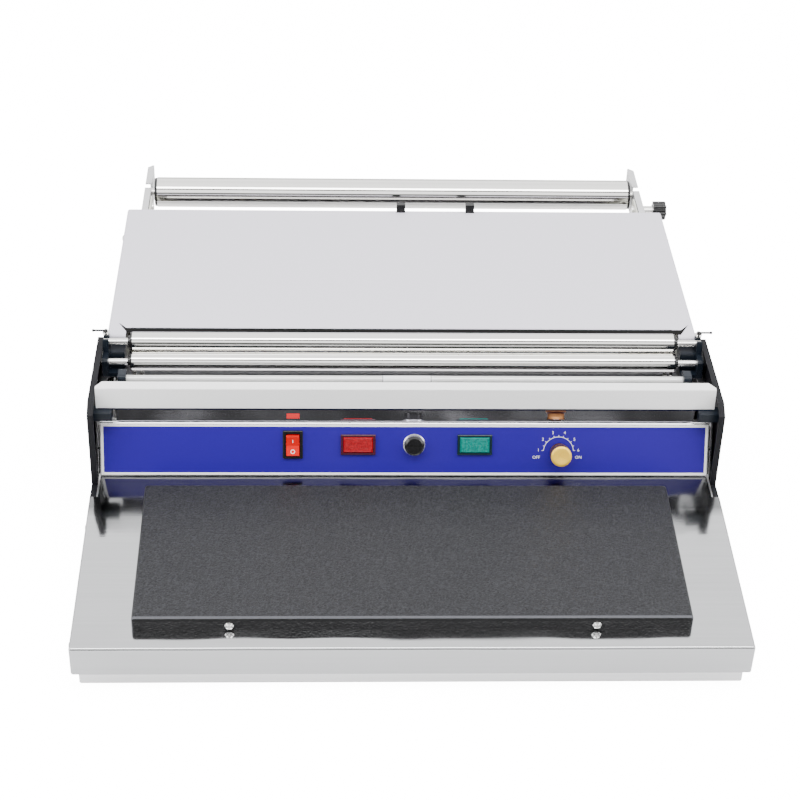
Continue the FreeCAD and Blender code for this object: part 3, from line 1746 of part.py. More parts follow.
for side in (-1, 1):
    SCREW_SEATS.append((side * plate_screw_x, seat_y, seat_z, 0, -1))

links = []
for number, (x, y, z, way_x, way_y) in enumerate(SCREW_SEATS):
    seat = doc.addObject("App::Link", f"screw_{number}")
    seat.LinkedObject = screw.body
    direction = FreeCAD.Vector(way_x, way_y * cosine(slope).value, way_y * sine(slope).value)
    turn = FreeCAD.Rotation(FreeCAD.Vector(1, 0, 0), direction)
    seat.Placement = FreeCAD.Placement(FreeCAD.Vector(), turn)
    for axis, part in zip("xyz", (x, y, z)):
        seat.setExpression(f"Placement.Base.{axis}", as_size(part).formula)
    links.append(seat)
screws = doc.addObject("Part::Compound", "pan_head_screws")
screws.Label = "pan_head_screws"
screws.Links = links
doc.recompute()
keep("pan_head_screws", screws)

for label, thing in PARTS.items():
    if "Invalid" in thing.State or thing.Shape.isNull() or not thing.Shape.isValid():
        raise RuntimeError(f"{label} is not a sound shape")
os.makedirs("parts", exist_ok=True)
for label, thing in PARTS.items():
    thing.Shape.exportStep(f"parts/{label}.step")
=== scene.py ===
"""Cling film wrapping machine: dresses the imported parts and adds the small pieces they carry."""

import logging
import math
from dataclasses import dataclass
from enum import Enum
from functools import cache
from typing import Callable, Sequence

import bmesh
import bpy
import numpy as np
from mathutils import Matrix


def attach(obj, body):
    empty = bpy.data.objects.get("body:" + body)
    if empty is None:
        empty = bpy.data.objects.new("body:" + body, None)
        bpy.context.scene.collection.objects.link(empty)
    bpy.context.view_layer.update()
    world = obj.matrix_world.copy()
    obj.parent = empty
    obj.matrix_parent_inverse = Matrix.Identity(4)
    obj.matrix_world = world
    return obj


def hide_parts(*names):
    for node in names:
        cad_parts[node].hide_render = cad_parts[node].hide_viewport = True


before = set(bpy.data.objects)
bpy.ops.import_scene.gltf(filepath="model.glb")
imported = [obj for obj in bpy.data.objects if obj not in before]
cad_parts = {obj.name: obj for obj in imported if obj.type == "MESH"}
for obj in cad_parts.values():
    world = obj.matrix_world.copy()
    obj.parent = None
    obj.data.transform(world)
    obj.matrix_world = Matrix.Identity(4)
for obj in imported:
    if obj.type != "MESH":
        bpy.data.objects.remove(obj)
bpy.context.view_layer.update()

logging.basicConfig(level=logging.INFO, format="%(name)s: %(message)s")
LOG = logging.getLogger("wrapping_machine")

Colour = tuple[float, float, float]
Point = tuple[float, float, float]
Pair = tuple[float, float]
Pairs = tuple[Pair, ...]
Array = np.ndarray
Thing = bpy.types.Object
Material = bpy.types.Material
Tree = bpy.types.NodeTree
Node = bpy.types.Node
Socket = bpy.types.NodeSocket

MM = 0.001
HALF_DEPTH = 313.0
MACHINE = "machine"
LETTER_HALF = 0.03


class Grain(Enum):
    """Way in which the brushing of a sheet runs, as stretch factors along X, Y and Z."""

    ACROSS = (6.0, 420.0, 420.0)
    LENGTHWISE = (420.0, 6.0, 420.0)
    AROUND = (900.0, 60.0, 60.0)
    CAST = (160.0, 160.0, 160.0)


# Shared effects

SKIN_OUT = {"Tone": "Float", "Normal": "Vector"}


class Bench:
    """A node tree with short ways to add and join nodes."""

    def __init__(self, tree: Tree) -> None:
        """Work on a tree."""
        self.tree = tree

    def add(self, kind: str, **values: object) -> Node:
        """Add a node, set its properties and, with names in capitals, its input sockets."""
        node = self.tree.nodes.new(f"ShaderNode{kind}")
        for key, value in values.items():
            if key[0].isupper():
                self.feed(node.inputs[key.replace("_", " ")], value)
            else:
                setattr(node, key, value)
        return node

    def feed(self, target: Socket, value: object) -> None:
        """Link an output to an input, or set the input to a number, a vector or a colour."""
        if isinstance(value, Socket):
            self.tree.links.new(value, target)
        else:
            target.default_value = (*value, 1.0) if target.type == "RGBA" else value

    def join(self, source: Socket, target: Socket) -> None:
        """Link an output to an input."""
        self.tree.links.new(source, target)

    def math(self, operation: str, *values: Socket | float) -> Socket:
        """Combine values, each a socket or a number."""
        node = self.add("Math", operation=operation)
        for target, value in zip(node.inputs, values):
            self.feed(target, value)
        return node.outputs[0]

    def spread(self, value: Socket, **limits: float) -> Socket:
        """Stretch a value between limits, which are 0 and 1 where they aren't given."""
        return self.add("MapRange", Value=value, **limits).outputs["Result"]


def wire_grain(bench: Bench, start: Node, end: Node) -> None:
    """Fine streaks: a noise stretched along the brushing, put out as a tone and as a bumped normal."""
    stretch = bench.add("VectorMath", operation="MULTIPLY")
    for target, source in zip(stretch.inputs, ("Vector", "Stretch")):
        bench.join(start.outputs[source], target)
    noise = bench.add("TexNoise", Vector=stretch.outputs[0], Scale=1.0, Detail=4.0)
    streaks = noise.outputs["Fac"]
    bump = bench.add("Bump", Distance=0.0004, Height=streaks, Strength=start.outputs["Depth"])
    bench.join(streaks, end.inputs["Tone"])
    bench.join(bump.outputs["Normal"], end.inputs["Normal"])


def wire_haze(bench: Bench, start: Node, end: Node) -> None:
    """Soft cloudy handling marks: a slow noise squeezed to its upper half."""
    slow = {"Vector": start.outputs["Vector"], "Scale": start.outputs["Scale"]}
    noise = bench.add("TexNoise", **slow, Detail=3.0, Distortion=0.6)
    band = bench.add("MapRange", interpolation_type="SMOOTHSTEP", From_Min=0.42, From_Max=0.7)
    bench.join(noise.outputs["Fac"], band.inputs["Value"])
    bench.join(band.outputs["Result"], end.inputs["Mask"])


def wire_pebble(bench: Bench, start: Node, end: Node) -> None:
    """Leathery pebbles: smooth cells and a finer noise, added into one bumped height."""
    place, scale = start.outputs["Vector"], start.outputs["Scale"]
    finer = bench.math("MULTIPLY", scale, 1.7)
    cells = bench.add("TexVoronoi", feature="SMOOTH_F1", Vector=place, Scale=scale, Smoothness=0.7)
    noise = bench.add("TexNoise", Vector=place, Scale=finer, Detail=3.0)
    height = bench.math("MULTIPLY_ADD", cells.outputs["Distance"], 0.6, noise.outputs["Fac"])
    bump = bench.add("Bump", Distance=0.0005, Height=height, Strength=start.outputs["Depth"])
    bench.join(bench.spread(height, From_Min=0.45, From_Max=1.0), end.inputs["Tone"])
    bench.join(bump.outputs["Normal"], end.inputs["Normal"])


class Effect(Enum):
    """Shared effects, each fed with a place: name, other inputs, outputs and the function that wires it."""

    BRUSHING = ("brushing", {"Stretch": ("Vector", None), "Depth": ("Float", 0.1)}, SKIN_OUT, wire_grain)
    HAZE = ("handling_haze", {"Scale": ("Float", 8.0)}, {"Mask": "Float"}, wire_haze)
    PEBBLES = ("pebbles", {"Scale": ("Float", 900.0), "Depth": ("Float", 0.3)}, SKIN_OUT, wire_pebble)

    @cache
    def tree(self) -> Tree:
        """Return the effect's node group, built once."""
        name, inputs, outputs, wire = self.value
        tree = bpy.data.node_groups.new(name, "ShaderNodeTree")
        for label, (kind, default) in ({"Vector": ("Vector", None)} | inputs).items():
            socket = tree.interface.new_socket(label, in_out="INPUT", socket_type=f"NodeSocket{kind}")
            if default is not None:
                socket.default_value = default
        for label, kind in outputs.items():
            tree.interface.new_socket(label, in_out="OUTPUT", socket_type=f"NodeSocket{kind}")
        wire(Bench(tree), tree.nodes.new("NodeGroupInput"), tree.nodes.new("NodeGroupOutput"))
        return tree


class Desk(Bench):
    """The node tree of a new material, which ends in a Principled BSDF."""

    def __init__(self, name: str) -> None:
        """Start the material."""
        self.material = bpy.data.materials.new(f"finish_{name}")
        self.material.use_nodes = True
        super().__init__(self.material.node_tree)
        self.tree.nodes.clear()
        self.shader = self.add("BsdfPrincipled")
        self.join(self.shader.outputs["BSDF"], self.add("OutputMaterial").inputs["Surface"])
        self.place = self.add("TexCoord").outputs["Object"]

    def set(self, **values: object) -> None:
        """Set or feed sockets of the shader, named with underscores for spaces."""
        for key, value in values.items():
            self.feed(self.shader.inputs[key.replace("_", " ")], value)

    def effect(self, effect: Effect, **values: object) -> list[Socket]:
        """Place a shared effect, fed with the object's coordinates, and return its outputs."""
        return list(self.add("Group", node_tree=effect.tree(), Vector=self.place, **values).outputs)

    def axis(self, name: str) -> Socket:
        """The place along X, Y or Z."""
        split = self.add("SeparateXYZ")
        self.join(self.place, split.inputs[0])
        return split.outputs[name]

    def marks(self, scale: float, low: float, high: float) -> Socket:
        """The handling marks, as a value from low to high."""
        return self.spread(self.effect(Effect.HAZE, Scale=scale)[0], To_Min=low, To_Max=high)

    def mix(self, mask: Socket, first: Socket | Colour, second: Socket | Colour) -> Socket:
        """Mix two colours by a mask."""
        node = self.add("Mix", data_type="RGBA", Factor=mask)
        self.feed(node.inputs[6], first)
        self.feed(node.inputs[7], second)
        return node.outputs[2]


def darker(colour: Colour, factor: float) -> Colour:
    """A colour times a factor."""
    return tuple(factor * part for part in colour)


# Finishes


@dataclass(frozen=True)
class Metal:
    """Bare metal with brushing, handling marks and, where asked, painted shade behind a place along Y.

    Attributes:
        roughness: Lowest roughness.
        haze: What the handling marks add to it.
        grain: Way of the brushing.
        depth: Strength of the brushing's bump.
        haze_scale: Scale of the handling marks.
        wave: Height of a thin sheet's slow waves, in metres.
        dull_behind: Place along Y, in metres, behind which the metal's colour is darkened as painted shade,
            or None.
        dull_fade: Length over which the painted shade comes in.
        dull_tone: What is left of its dark tone in the painted shade.
    """

    name: str
    light: Colour
    dark: Colour
    roughness: float
    haze: float = 0.05
    grain: Grain = Grain.ACROSS
    depth: float = 0.05
    haze_scale: float = 9.0
    wave: float = 0.0
    dull_behind: float | None = None
    dull_fade: float = 0.0005
    dull_tone: float = 0.16

    def build(self) -> Material:
        """Return the material."""
        desk = Desk(self.name)
        streaks, normal = desk.effect(Effect.BRUSHING, Stretch=self.grain.value, Depth=self.depth)
        tone = desk.mix(streaks, self.dark, self.light)
        # Painted shade: the colour darkens to a part of the dark tone behind the given place along Y.
        if self.dull_behind is not None:
            fade = {"From_Min": self.dull_behind, "From_Max": self.dull_behind + self.dull_fade}
            tone = desk.mix(desk.spread(desk.axis("Y"), **fade), tone, darker(self.dark, self.dull_tone))
        rough = desk.marks(self.haze_scale, self.roughness, self.roughness + self.haze)
        desk.set(Metallic=1.0, Base_Color=tone, Roughness=rough, Normal=self.waves(desk, normal))
        return desk.material

    def waves(self, desk: Desk, normal: Socket) -> Socket:
        """Slow unevenness of thin sheet: a broad noise bumped by the wave height over the brushed normal."""
        if not self.wave:
            return normal
        noise = desk.add("TexNoise", Vector=desk.place, Scale=15.0, Detail=1.0)
        bump = desk.add("Bump", Distance=self.wave, Strength=1.0, Height=noise.outputs["Fac"], Normal=normal)
        return bump.outputs["Normal"]


@dataclass(frozen=True)
class Coat:
    """Painted or moulded surface with a pebbled or fine-grained skin and, where asked, a painted highlight
    band with painted shade in front of it.

    Attributes:
        roughness: Lowest roughness.
        scale: Scale of the skin.
        depth: Strength of the skin's bump.
        haze: What the handling marks add to the roughness.
        metallic: How far it looks like metal.
        coat: Weight of a clear coat.
        specular: Strength of its mirroring.
        worn_from: Place along Y, in metres, in front of which a painted highlight makes it three times as
            bright, or None.
        dark_from: Place along Y in front of which it is dark again, as painted shade.
    """

    name: str
    light: Colour
    dark: Colour
    roughness: float
    scale: float = 900.0
    depth: float = 0.15
    haze: float = 0.08
    metallic: float = 0.0
    coat: float = 0.0
    specular: float = 0.5
    worn_from: float | None = None
    dark_from: float = -1.0

    def build(self) -> Material:
        """Return the material."""
        desk = Desk(self.name)
        skin, normal = desk.effect(Effect.PEBBLES, Scale=self.scale, Depth=self.depth)
        tone = desk.mix(skin, self.dark, self.light)
        # Painted highlight: a band three times as bright as the light tone, with painted shade in the dark
        # tone in front of it.
        if self.worn_from is not None:
            along = desk.axis("Y")
            tone = desk.mix(desk.math("LESS_THAN", along, self.worn_from), tone, darker(self.light, 3.0))
            tone = desk.mix(desk.math("LESS_THAN", along, self.dark_from), tone, self.dark)
        rough = desk.marks(12.0, self.roughness, self.roughness + self.haze)
        desk.set(Metallic=self.metallic, Coat_Weight=self.coat, Specular_IOR_Level=self.specular)
        desk.set(Base_Color=tone, Roughness=rough, Normal=normal)
        return desk.material


@dataclass(frozen=True)
class Lens:
    """Tinted lamp cover that glows a little from within."""

    name: str
    light: Colour
    dark: Colour
    glow: float = 0.25

    def build(self) -> Material:
        """Return the material."""
        desk = Desk(self.name)
        skin, normal = desk.effect(Effect.PEBBLES, Scale=700.0, Depth=0.1)
        tone = desk.mix(skin, self.dark, self.light)
        desk.set(Roughness=0.22, Specular_IOR_Level=0.18, Coat_Weight=0.05, Emission_Strength=self.glow)
        desk.set(Base_Color=tone, Emission_Color=tone, Normal=normal)
        return desk.material


@dataclass(frozen=True)
class BezelTone:
    """Dark bezels, with a little of their lamps' colour: one tone left of the middle, one right of it."""

    name: str
    left: Colour
    right: Colour

    def build(self) -> Material:
        """Return the material; the mask is one right of the machine's middle."""
        desk = Desk(self.name)
        side = desk.math("GREATER_THAN", desk.axis("X"), 0.0)
        skin, normal = desk.effect(Effect.PEBBLES, Scale=900.0, Depth=0.04)
        tone = desk.mix(side, self.left, self.right)
        deep = desk.mix(side, darker(self.left, 0.5), darker(self.right, 0.5))
        desk.set(Roughness=0.20, Coat_Weight=0.3, Base_Color=desk.mix(skin, deep, tone), Normal=normal)
        return desk.material


@dataclass(frozen=True)
class PanelPrint:
    """Blue printed film with a white border.

    Attributes:
        half_width: Half width of the blue field, in metres.
        low: World height of the field's lower edge.
        high: World height of its upper edge.
    """

    name: str
    blue: Colour
    white: Colour
    half_width: float
    low: float
    high: float

    def build(self) -> Material:
        """Return the material; the mask is one inside the blue field and nought on its border."""
        desk = Desk(self.name)
        wide = desk.math("LESS_THAN", desk.math("ABSOLUTE", desk.axis("X")), self.half_width)
        height = desk.axis("Z")
        above = desk.math("GREATER_THAN", height, self.low)
        below = desk.math("LESS_THAN", height, self.high)
        field_mask = desk.math("MULTIPLY", wide, desk.math("MULTIPLY", above, below))
        skin, normal = desk.effect(Effect.PEBBLES, Scale=1500.0, Depth=0.03)
        blue = desk.mix(skin, darker(self.blue, 0.86), self.blue)
        desk.set(Specular_IOR_Level=0.25, Roughness=desk.marks(7.0, 0.30, 0.42))
        desk.set(Base_Color=desk.mix(field_mask, self.white, blue), Normal=normal)
        return desk.material


# Meshes


def new_object(name: str, data: bpy.types.ID | None) -> Thing:
    """Put a new object with the given data in the scene."""
    thing = bpy.data.objects.new(name, data)
    bpy.context.scene.collection.objects.link(thing)
    return thing


def capped(rings: Array) -> Array:
    """Close a row of rings: add each end ring once more, shrunk to its middle."""
    middle = np.repeat(rings.mean(axis=1, keepdims=True), rings.shape[1], axis=1)
    return np.concatenate([middle[:1], rings, middle[-1:]])


def closed_grid(name: str, points: Array, wrap: bool = True, crisp: float = 35.0) -> Thing:
    """Turn a grid of points into a mesh object.

    Args:
        name: Object name.
        points: Array (rows, columns, 3) in metres; columns run round the piece when wrap is set.
        wrap: Whether the last column joins the first.
        crisp: Angle in degrees over which an edge stays crisp.

    Returns:
        The new object, linked to the scene. Rows that shrink to a point are merged there.
    """
    rows, columns = points.shape[:2]
    index = np.arange(rows * columns).reshape(rows, columns)
    after = np.roll(index, -1, axis=1)
    if not wrap:
        index, after = index[:, :-1], after[:, :-1]
    quads = np.stack([index[:-1], after[:-1], after[1:], index[1:]], axis=-1).reshape(-1, 4)
    mesh = bpy.data.meshes.new(name)
    mesh.from_pydata(points.reshape(-1, 3).tolist(), [], quads.tolist())
    mesh.update()
    thing = new_object(name, mesh)
    weld(thing, crisp)
    return thing


def weld(thing: Thing, crisp: float, reach: float = 1e-6) -> None:
    """Merge doubled vertices, point every face outwards and shade smooth but for the crisp edges."""
    work = bmesh.new()
    work.from_mesh(thing.data)
    bmesh.ops.remove_doubles(work, verts=work.verts, dist=reach)
    bmesh.ops.recalc_face_normals(work, faces=work.faces)
    limit = math.radians(crisp)
    for face in work.faces:
        face.smooth = True
    for edge in work.edges:
        edge.smooth = len(edge.link_faces) == 2 and edge.calc_face_angle(0.0) < limit
    work.to_mesh(thing.data)
    work.free()


def turned_surface(
    profile: Sequence[Pair],
    steps: int,
    ripple: Callable[[Array, Array], Array] | None = None,
) -> Array:
    """Points of a turned piece about Z.

    Args:
        profile: (radius, height) corners, in millimetres.
        steps: Number of columns round the axis.
        ripple: Optional function of (angle, row number) that scales the radius.

    Returns:
        Array (rows, steps, 3) in millimetres: x = r cos a, y = r sin a, z = height.
    """
    corners = np.array(profile, float)
    angle = np.linspace(0.0, 2.0 * math.pi, steps, endpoint=False)[None, :]
    radius = np.repeat(corners[:, :1], steps, axis=1)
    if ripple is not None:
        radius = radius * ripple(angle, np.arange(len(corners))[:, None])
    height = np.repeat(corners[:, 1:], steps, axis=1)
    return np.stack([radius * np.cos(angle), radius * np.sin(angle), height], axis=-1)


@dataclass(frozen=True)
class PanelPlane:
    """The leaning panel's own axes: X along it, U up its slope and N out of its face."""

    foot_setback: float = 197.6307
    foot_height: float = 56.2876
    lean: float = 22.8

    def to_world(self, points: Array) -> Array:
        """Take (x, u, n) in millimetres to the machine's frame in metres.

        Args:
            points: Array whose last axis holds x, u and n.

        Returns:
            Array of the same shape: y is u sin(lean) - n cos(lean) behind the foot, and z is
            u cos(lean) + n sin(lean) over it.
        """
        slant = math.radians(self.lean)
        x, u, n = points[..., 0], points[..., 1], points[..., 2]
        y = self.foot_setback - HALF_DEPTH + u * math.sin(slant) - n * math.cos(slant)
        z = self.foot_height + u * math.cos(slant) + n * math.sin(slant)
        return np.stack([x, y, z], axis=-1) * MM

    def height_of(self, up: float, out: float = 0.3) -> float:
        """World height in metres of a point of the overlay's face."""
        return float(self.to_world(np.array([0.0, up, out]))[2])


PANEL = PanelPlane()


def dress(node: str, material: Material) -> None:
    """Give a CAD node its finish."""
    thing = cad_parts[node]
    for slot in thing.material_slots:
        slot.material = material


def seat(thing: Thing, finish: "Finish", body: str = MACHINE) -> None:
    """Dress a new piece and seat it on a body."""
    thing.data.materials.clear()
    thing.data.materials.append(finish.material())
    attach(thing, body)
    LOG.info("%s: %d faces on %s", thing.name, len(thing.data.polygons), body)


def flat_strip(name: str, path: Array, width: float, lift: float, thick: float) -> Thing:
    """A thin printed line on the panel.

    Args:
        name: Object name.
        path: Array (steps, 2) of x and u in millimetres.
        width: Line width in millimetres.
        lift: Height of its underside over the panel's face.
        thick: Thickness.

    Returns:
        The line: a rectangle carried along the path, closed at its ends.
    """
    heading = np.gradient(path, axis=0)
    heading /= np.linalg.norm(heading, axis=1, keepdims=True)
    side = np.stack([-heading[:, 1], heading[:, 0]], axis=1) * width / 2
    corners = [(1, lift), (1, lift + thick), (-1, lift + thick), (-1, lift)]
    rings = np.stack(
        [np.column_stack([path + way * side, np.full(len(path), out)]) for way, out in corners],
        axis=1,
    )
    return closed_grid(name, PANEL.to_world(capped(rings)))


def join_all(name: str, things: list[Thing]) -> Thing:
    """Join several new objects into one."""
    with bpy.context.temp_override(active_object=things[0], selected_editable_objects=things):
        bpy.ops.object.join()
    things[0].name = name
    things[0].data.name = name
    return things[0]


def lettering(text: str, size: float, x: float, up: float, lift: float) -> Thing:
    """A word or number printed on the panel.

    Args:
        text: What it says.
        size: Letter size in millimetres.
        x: Middle of the word along the panel.
        up: Middle of the word up the slope.
        lift: Height of its middle over the panel's face.

    Returns:
        The lettering as a mesh.
    """
    curve = bpy.data.curves.new(f"mark_{text}", "FONT")
    curve.body = text
    curve.size = size
    curve.extrude = LETTER_HALF
    curve.align_x = "CENTER"
    curve.align_y = "CENTER"
    curve.resolution_u = 3
    thing = new_object(f"mark_{text}", curve)
    bpy.context.view_layer.update()
    mesh = bpy.data.meshes.new_from_object(thing)
    bpy.data.objects.remove(thing)
    count = len(mesh.vertices)
    flat = np.zeros(count * 3)
    mesh.vertices.foreach_get("co", flat)
    flat = flat.reshape(-1, 3) + np.array([x, up, lift])
    mesh.vertices.foreach_set("co", PANEL.to_world(flat).ravel())
    mesh.update()
    return new_object(f"mark_{text}", mesh)


def carried_section(name: str, section: Array, ends: Pair) -> Thing:
    """Carry a closed section along X and close its ends.

    Args:
        name: Object name.
        section: Array (points, 2) of y and z in millimetres.
        ends: Lowest and highest x.

    Returns:
        The piece, with flat ends.
    """
    rings = [np.column_stack([np.full(len(section), x), section]) for x in ends]
    return closed_grid(name, capped(np.stack(rings)) * MM)


def small_plate(name: str, low: Point, high: Point, bevel: float) -> Thing:
    """A small plate with a bevelled top.

    Args:
        name: Object name.
        low: Its lowest corner in millimetres.
        high: Its highest corner.
        bevel: Size of the bevel.

    Returns:
        The plate: a rectangle carried up its sides, drawn in by the bevel at the top.
    """
    low, high = np.array(low), np.array(high)
    middle, half = (low + high)[:2] / 2, (high - low)[:2] / 2
    corner = np.array([(-1, -1), (1, -1), (1, 1), (-1, 1)], float)
    rings = [
        np.column_stack([middle + corner * (half - cut), np.full(4, z)])
        for cut, z in ((0.0, low[2]), (0.0, high[2] - bevel), (bevel, high[2]))
    ]
    return closed_grid(name, capped(np.stack(rings)) * MM)


class Finish(Enum):
    """Every finish on the machine."""

    # The tray and the visor carry painted shade: their colour darkens behind a place along Y.
    TRAY = Metal("polished_tray", (0.52, 0.525, 0.535), (0.46, 0.465, 0.475), 0.08, haze=0.1, wave=0.003,
                 dull_behind=-0.165, dull_fade=0.012, dull_tone=0.42)
    PAN = Metal("pan_sheet", (0.8, 0.8, 0.81), (0.7, 0.7, 0.71), 0.28)
    PANEL_SHEET = Metal("panel_sheet", (0.9, 0.9, 0.91), (0.82, 0.82, 0.83), 0.22)
    VISOR = Metal("visor_mirror", (0.76, 0.75, 0.79), (0.72, 0.71, 0.75), 0.03, haze=0.02, depth=0.01,
                  dull_behind=-0.094)
    # Dark navy that stands in for the blue panel's reflection in the guard bar's lower bend: a painted
    # reflection.
    HEM = Coat("hem_painted_reflection", (0.003, 0.003, 0.018), (0.0015, 0.0015, 0.01), 0.3, depth=0.02, specular=0.04)
    CHROME = Metal("roller_chrome", (0.93, 0.92, 0.9), (0.86, 0.85, 0.82), 0.04, haze=0.04,
                   grain=Grain.AROUND)
    BAR = Coat("guard_bar_steel", (1.0, 1.0, 1.0), (0.94, 0.94, 0.94), 0.3, depth=0.02)
    COVER = Coat("cover_steel", (0.74, 0.72, 0.8), (0.67, 0.65, 0.73), 0.42, scale=1400.0, depth=0.04)
    FRAME_BEIGE = Coat("frame_beige", (0.7, 0.7, 0.63), (0.6, 0.6, 0.54), 0.4, depth=0.05)
    SIDE_BLACK = Coat("side_black", (0.009, 0.009, 0.0115), (0.004, 0.004, 0.0055), 0.42, depth=0.12,
                      specular=0.12)
    # The hot plate's front edge carries a painted highlight and its front face painted shade.
    HOT_PLATE = Coat("hot_plate_black", (0.025, 0.0255, 0.029), (0.0012, 0.0012, 0.0018), 0.36, scale=560.0,
                     depth=1.0, specular=0.26, worn_from=-0.2905, dark_from=-0.2928)
    BLOCK = Coat("block_navy", (0.008, 0.0125, 0.02), (0.004, 0.0065, 0.011), 0.34, depth=0.1, specular=0.25)
    CROSS = Metal("cross_member_steel", (0.4, 0.395, 0.41), (0.32, 0.315, 0.33), 0.3)
    CUTTER = Coat("cutter_coating", (0.8, 0.8, 0.79), (0.72, 0.72, 0.71), 0.28, depth=0.04, metallic=0.3)
    BLACK_PLASTIC = Coat("black_plastic", (0.008, 0.008, 0.009), (0.0035, 0.0035, 0.004), 0.16, depth=0.03)
    ROCKER = Coat("rocker_red", (0.8, 0.004, 0.002), (0.66, 0.002, 0.001), 0.26, depth=0.03, specular=0.4)
    BEZEL = BezelTone("bezel_dark", (0.06, 0.0065, 0.02), (0.002, 0.02, 0.03))
    LENS_RED = Lens("lens_red", (0.4, 0.004, 0.01), (0.13, 0.001, 0.003), glow=0.06)
    LENS_GREEN = Lens("lens_green", (0.0, 0.22, 0.18), (0.0, 0.1, 0.085), glow=0.06)
    FUSE_RING = Metal("fuse_ring", (0.9, 0.9, 0.92), (0.8, 0.8, 0.82), 0.2, grain=Grain.CAST)
    BRASS = Coat("knob_brass", (1.0, 0.66, 0.07), (0.96, 0.54, 0.045), 0.34, metallic=0.45, depth=0.06)
    # Shaded copy of the knob's brass, painted on its neck and side as shade.
    BRASS_DARK = Metal("knob_brass_shaded", (0.42, 0.2, 0.08), (0.22, 0.09, 0.03), 0.34, grain=Grain.CAST,
                       depth=0.2)
    STEEL = Metal("bright_steel", (0.9, 0.89, 0.87), (0.8, 0.79, 0.77), 0.18, grain=Grain.CAST)
    ARM = Coat("arm_grey", (0.62, 0.62, 0.63), (0.54, 0.54, 0.55), 0.36, depth=0.05)
    RUBBER = Coat("foot_rubber", (0.008, 0.008, 0.008), (0.003, 0.003, 0.003), 0.7, depth=0.3, specular=0.08)
    REGULATOR = Coat("regulator_brown", (0.16, 0.08, 0.04), (0.1, 0.05, 0.025), 0.4)
    HEATER = Coat("heater_mat", (0.42, 0.12, 0.05), (0.32, 0.08, 0.03), 0.55, scale=500.0)
    INSULATION = Coat("insulation_board", (0.66, 0.64, 0.58), (0.52, 0.5, 0.44), 0.8, scale=260.0, depth=0.5)
    CORE = Metal("core_iron", (0.34, 0.33, 0.32), (0.2, 0.2, 0.2), 0.42, grain=Grain.LENGTHWISE, depth=0.4)
    COIL = Coat("coil_wrap", (0.62, 0.42, 0.08), (0.5, 0.32, 0.05), 0.35)
    WHITE_PLASTIC = Coat("terminal_white", (0.8, 0.8, 0.78), (0.72, 0.72, 0.7), 0.38, depth=0.04)
    GLASS = Coat("fuse_glass", (0.66, 0.7, 0.72), (0.56, 0.6, 0.62), 0.06, coat=0.6)
    LABEL_RIM = Coat("label_rim", (0.4, 0.4, 0.42), (0.3, 0.3, 0.32), 0.4, depth=0.02)
    MARK_WHITE = Coat("mark_white", (0.96, 0.96, 0.97), (0.9, 0.9, 0.91), 0.36, depth=0.02)
    PRINT = PanelPrint("overlay_blue", (0.024, 0.006, 0.26), (0.98, 0.98, 0.99), 0.2475, PANEL.height_of(3.7),
                       PANEL.height_of(42.3))

    @cache
    def material(self) -> Material:
        """Return the finish's material, built once."""
        return self.value.build()


class SubAssembly:
    """A group of CAD nodes with their finishes, and the new pieces that they carry."""

    finishes: dict[Finish, str] = {}

    def build(self) -> None:
        """Dress the CAD nodes and add the new pieces."""
        for finish, nodes in self.finishes.items():
            for node in nodes.split():
                dress(node, finish.material())
        LOG.info("%s: %d finishes", type(self).__name__, len(self.finishes))
        self.add_pieces()

    def add_pieces(self) -> None:
        """Add the new pieces; a plain group has none."""


class Base(SubAssembly):
    """Bottom pan, tray, feet and the screws on the outside."""

    finishes = {
        Finish.TRAY: "tray",
        Finish.PAN: "bottom_pan power_inlet",
        Finish.RUBBER: "rubber_feet",
        Finish.STEEL: "pan_head_screws",
    }


class HotPlate(SubAssembly):
    """Heated plate with its brackets, mat and board."""

    finishes = {
        Finish.HOT_PLATE: "hot_plate",
        Finish.SIDE_BLACK: "hot_plate_brackets",
        Finish.HEATER: "heater_element",
        Finish.INSULATION: "heater_insulation",
    }


@dataclass
class Dial(SubAssembly):
    """Printed heat scale round the knob.

    Attributes:
        centre: Middle of the arc, x and u in millimetres.
        radius: Radius of the arc.
        line: Width of the printed lines.
        tick: Length of a tick.
        spread: Angle of the arc's ends from straight up, in degrees.
        ticks: Number of ticks.
        numbers: How many numbers there are.
        number_radius: Radius of the ring of numbers.
        letter_size: Height of the numbers and the words.
        words: Each word and its middle along the panel.
        words_up: Their middle up the slope.
        lift: Height of the print over the panel.
        thick: Thickness of the lines.
    """

    centre: Pair = (125.9, 21.7)
    radius: float = 12.4
    line: float = 0.42
    tick: float = 1.5
    spread: float = 86.0
    ticks: int = 11
    numbers: int = 6
    number_radius: float = 16.6
    letter_size: float = 3.6
    words: tuple[tuple[str, float], ...] = (("OFF", 107.6), ("ON", 142.6))
    words_up: float = 16.8
    lift: float = 0.31
    thick: float = 0.05

    def arc_points(self, radius: float, angles: Array) -> Array:
        """Points x, u on a circle about the centre; angle nought is straight up and grows to the right."""
        x, up = self.centre
        return np.stack([x + radius * np.sin(angles), up + radius * np.cos(angles)], axis=-1)

    def add_pieces(self) -> None:
        """Add the arc with its ticks, the numbers and the two words."""
        limit = math.radians(self.spread)
        arc = self.arc_points(self.radius, np.linspace(-limit, limit, 61))
        lines = [flat_strip("dial_arc", arc, self.line, self.lift, self.thick)]
        for angle in np.linspace(-limit, limit, self.ticks):
            path = np.stack([self.arc_points(r, angle) for r in (self.radius, self.radius + self.tick)])
            lines.append(flat_strip("dial_tick", path, self.line, self.lift, self.thick))
        raised = self.lift + LETTER_HALF
        numbers = []
        for value, angle in enumerate(np.linspace(-limit, limit, self.numbers), 1):
            x, up = self.arc_points(self.number_radius, angle)
            numbers.append(lettering(str(value), self.letter_size, x, up, raised))
        words = [lettering(word, self.letter_size, x, self.words_up, raised) for word, x in self.words]
        for name, parts in (("dial_scale", lines), ("dial_numbers", numbers), ("dial_words", words)):
            seat(join_all(name, parts), Finish.MARK_WHITE)


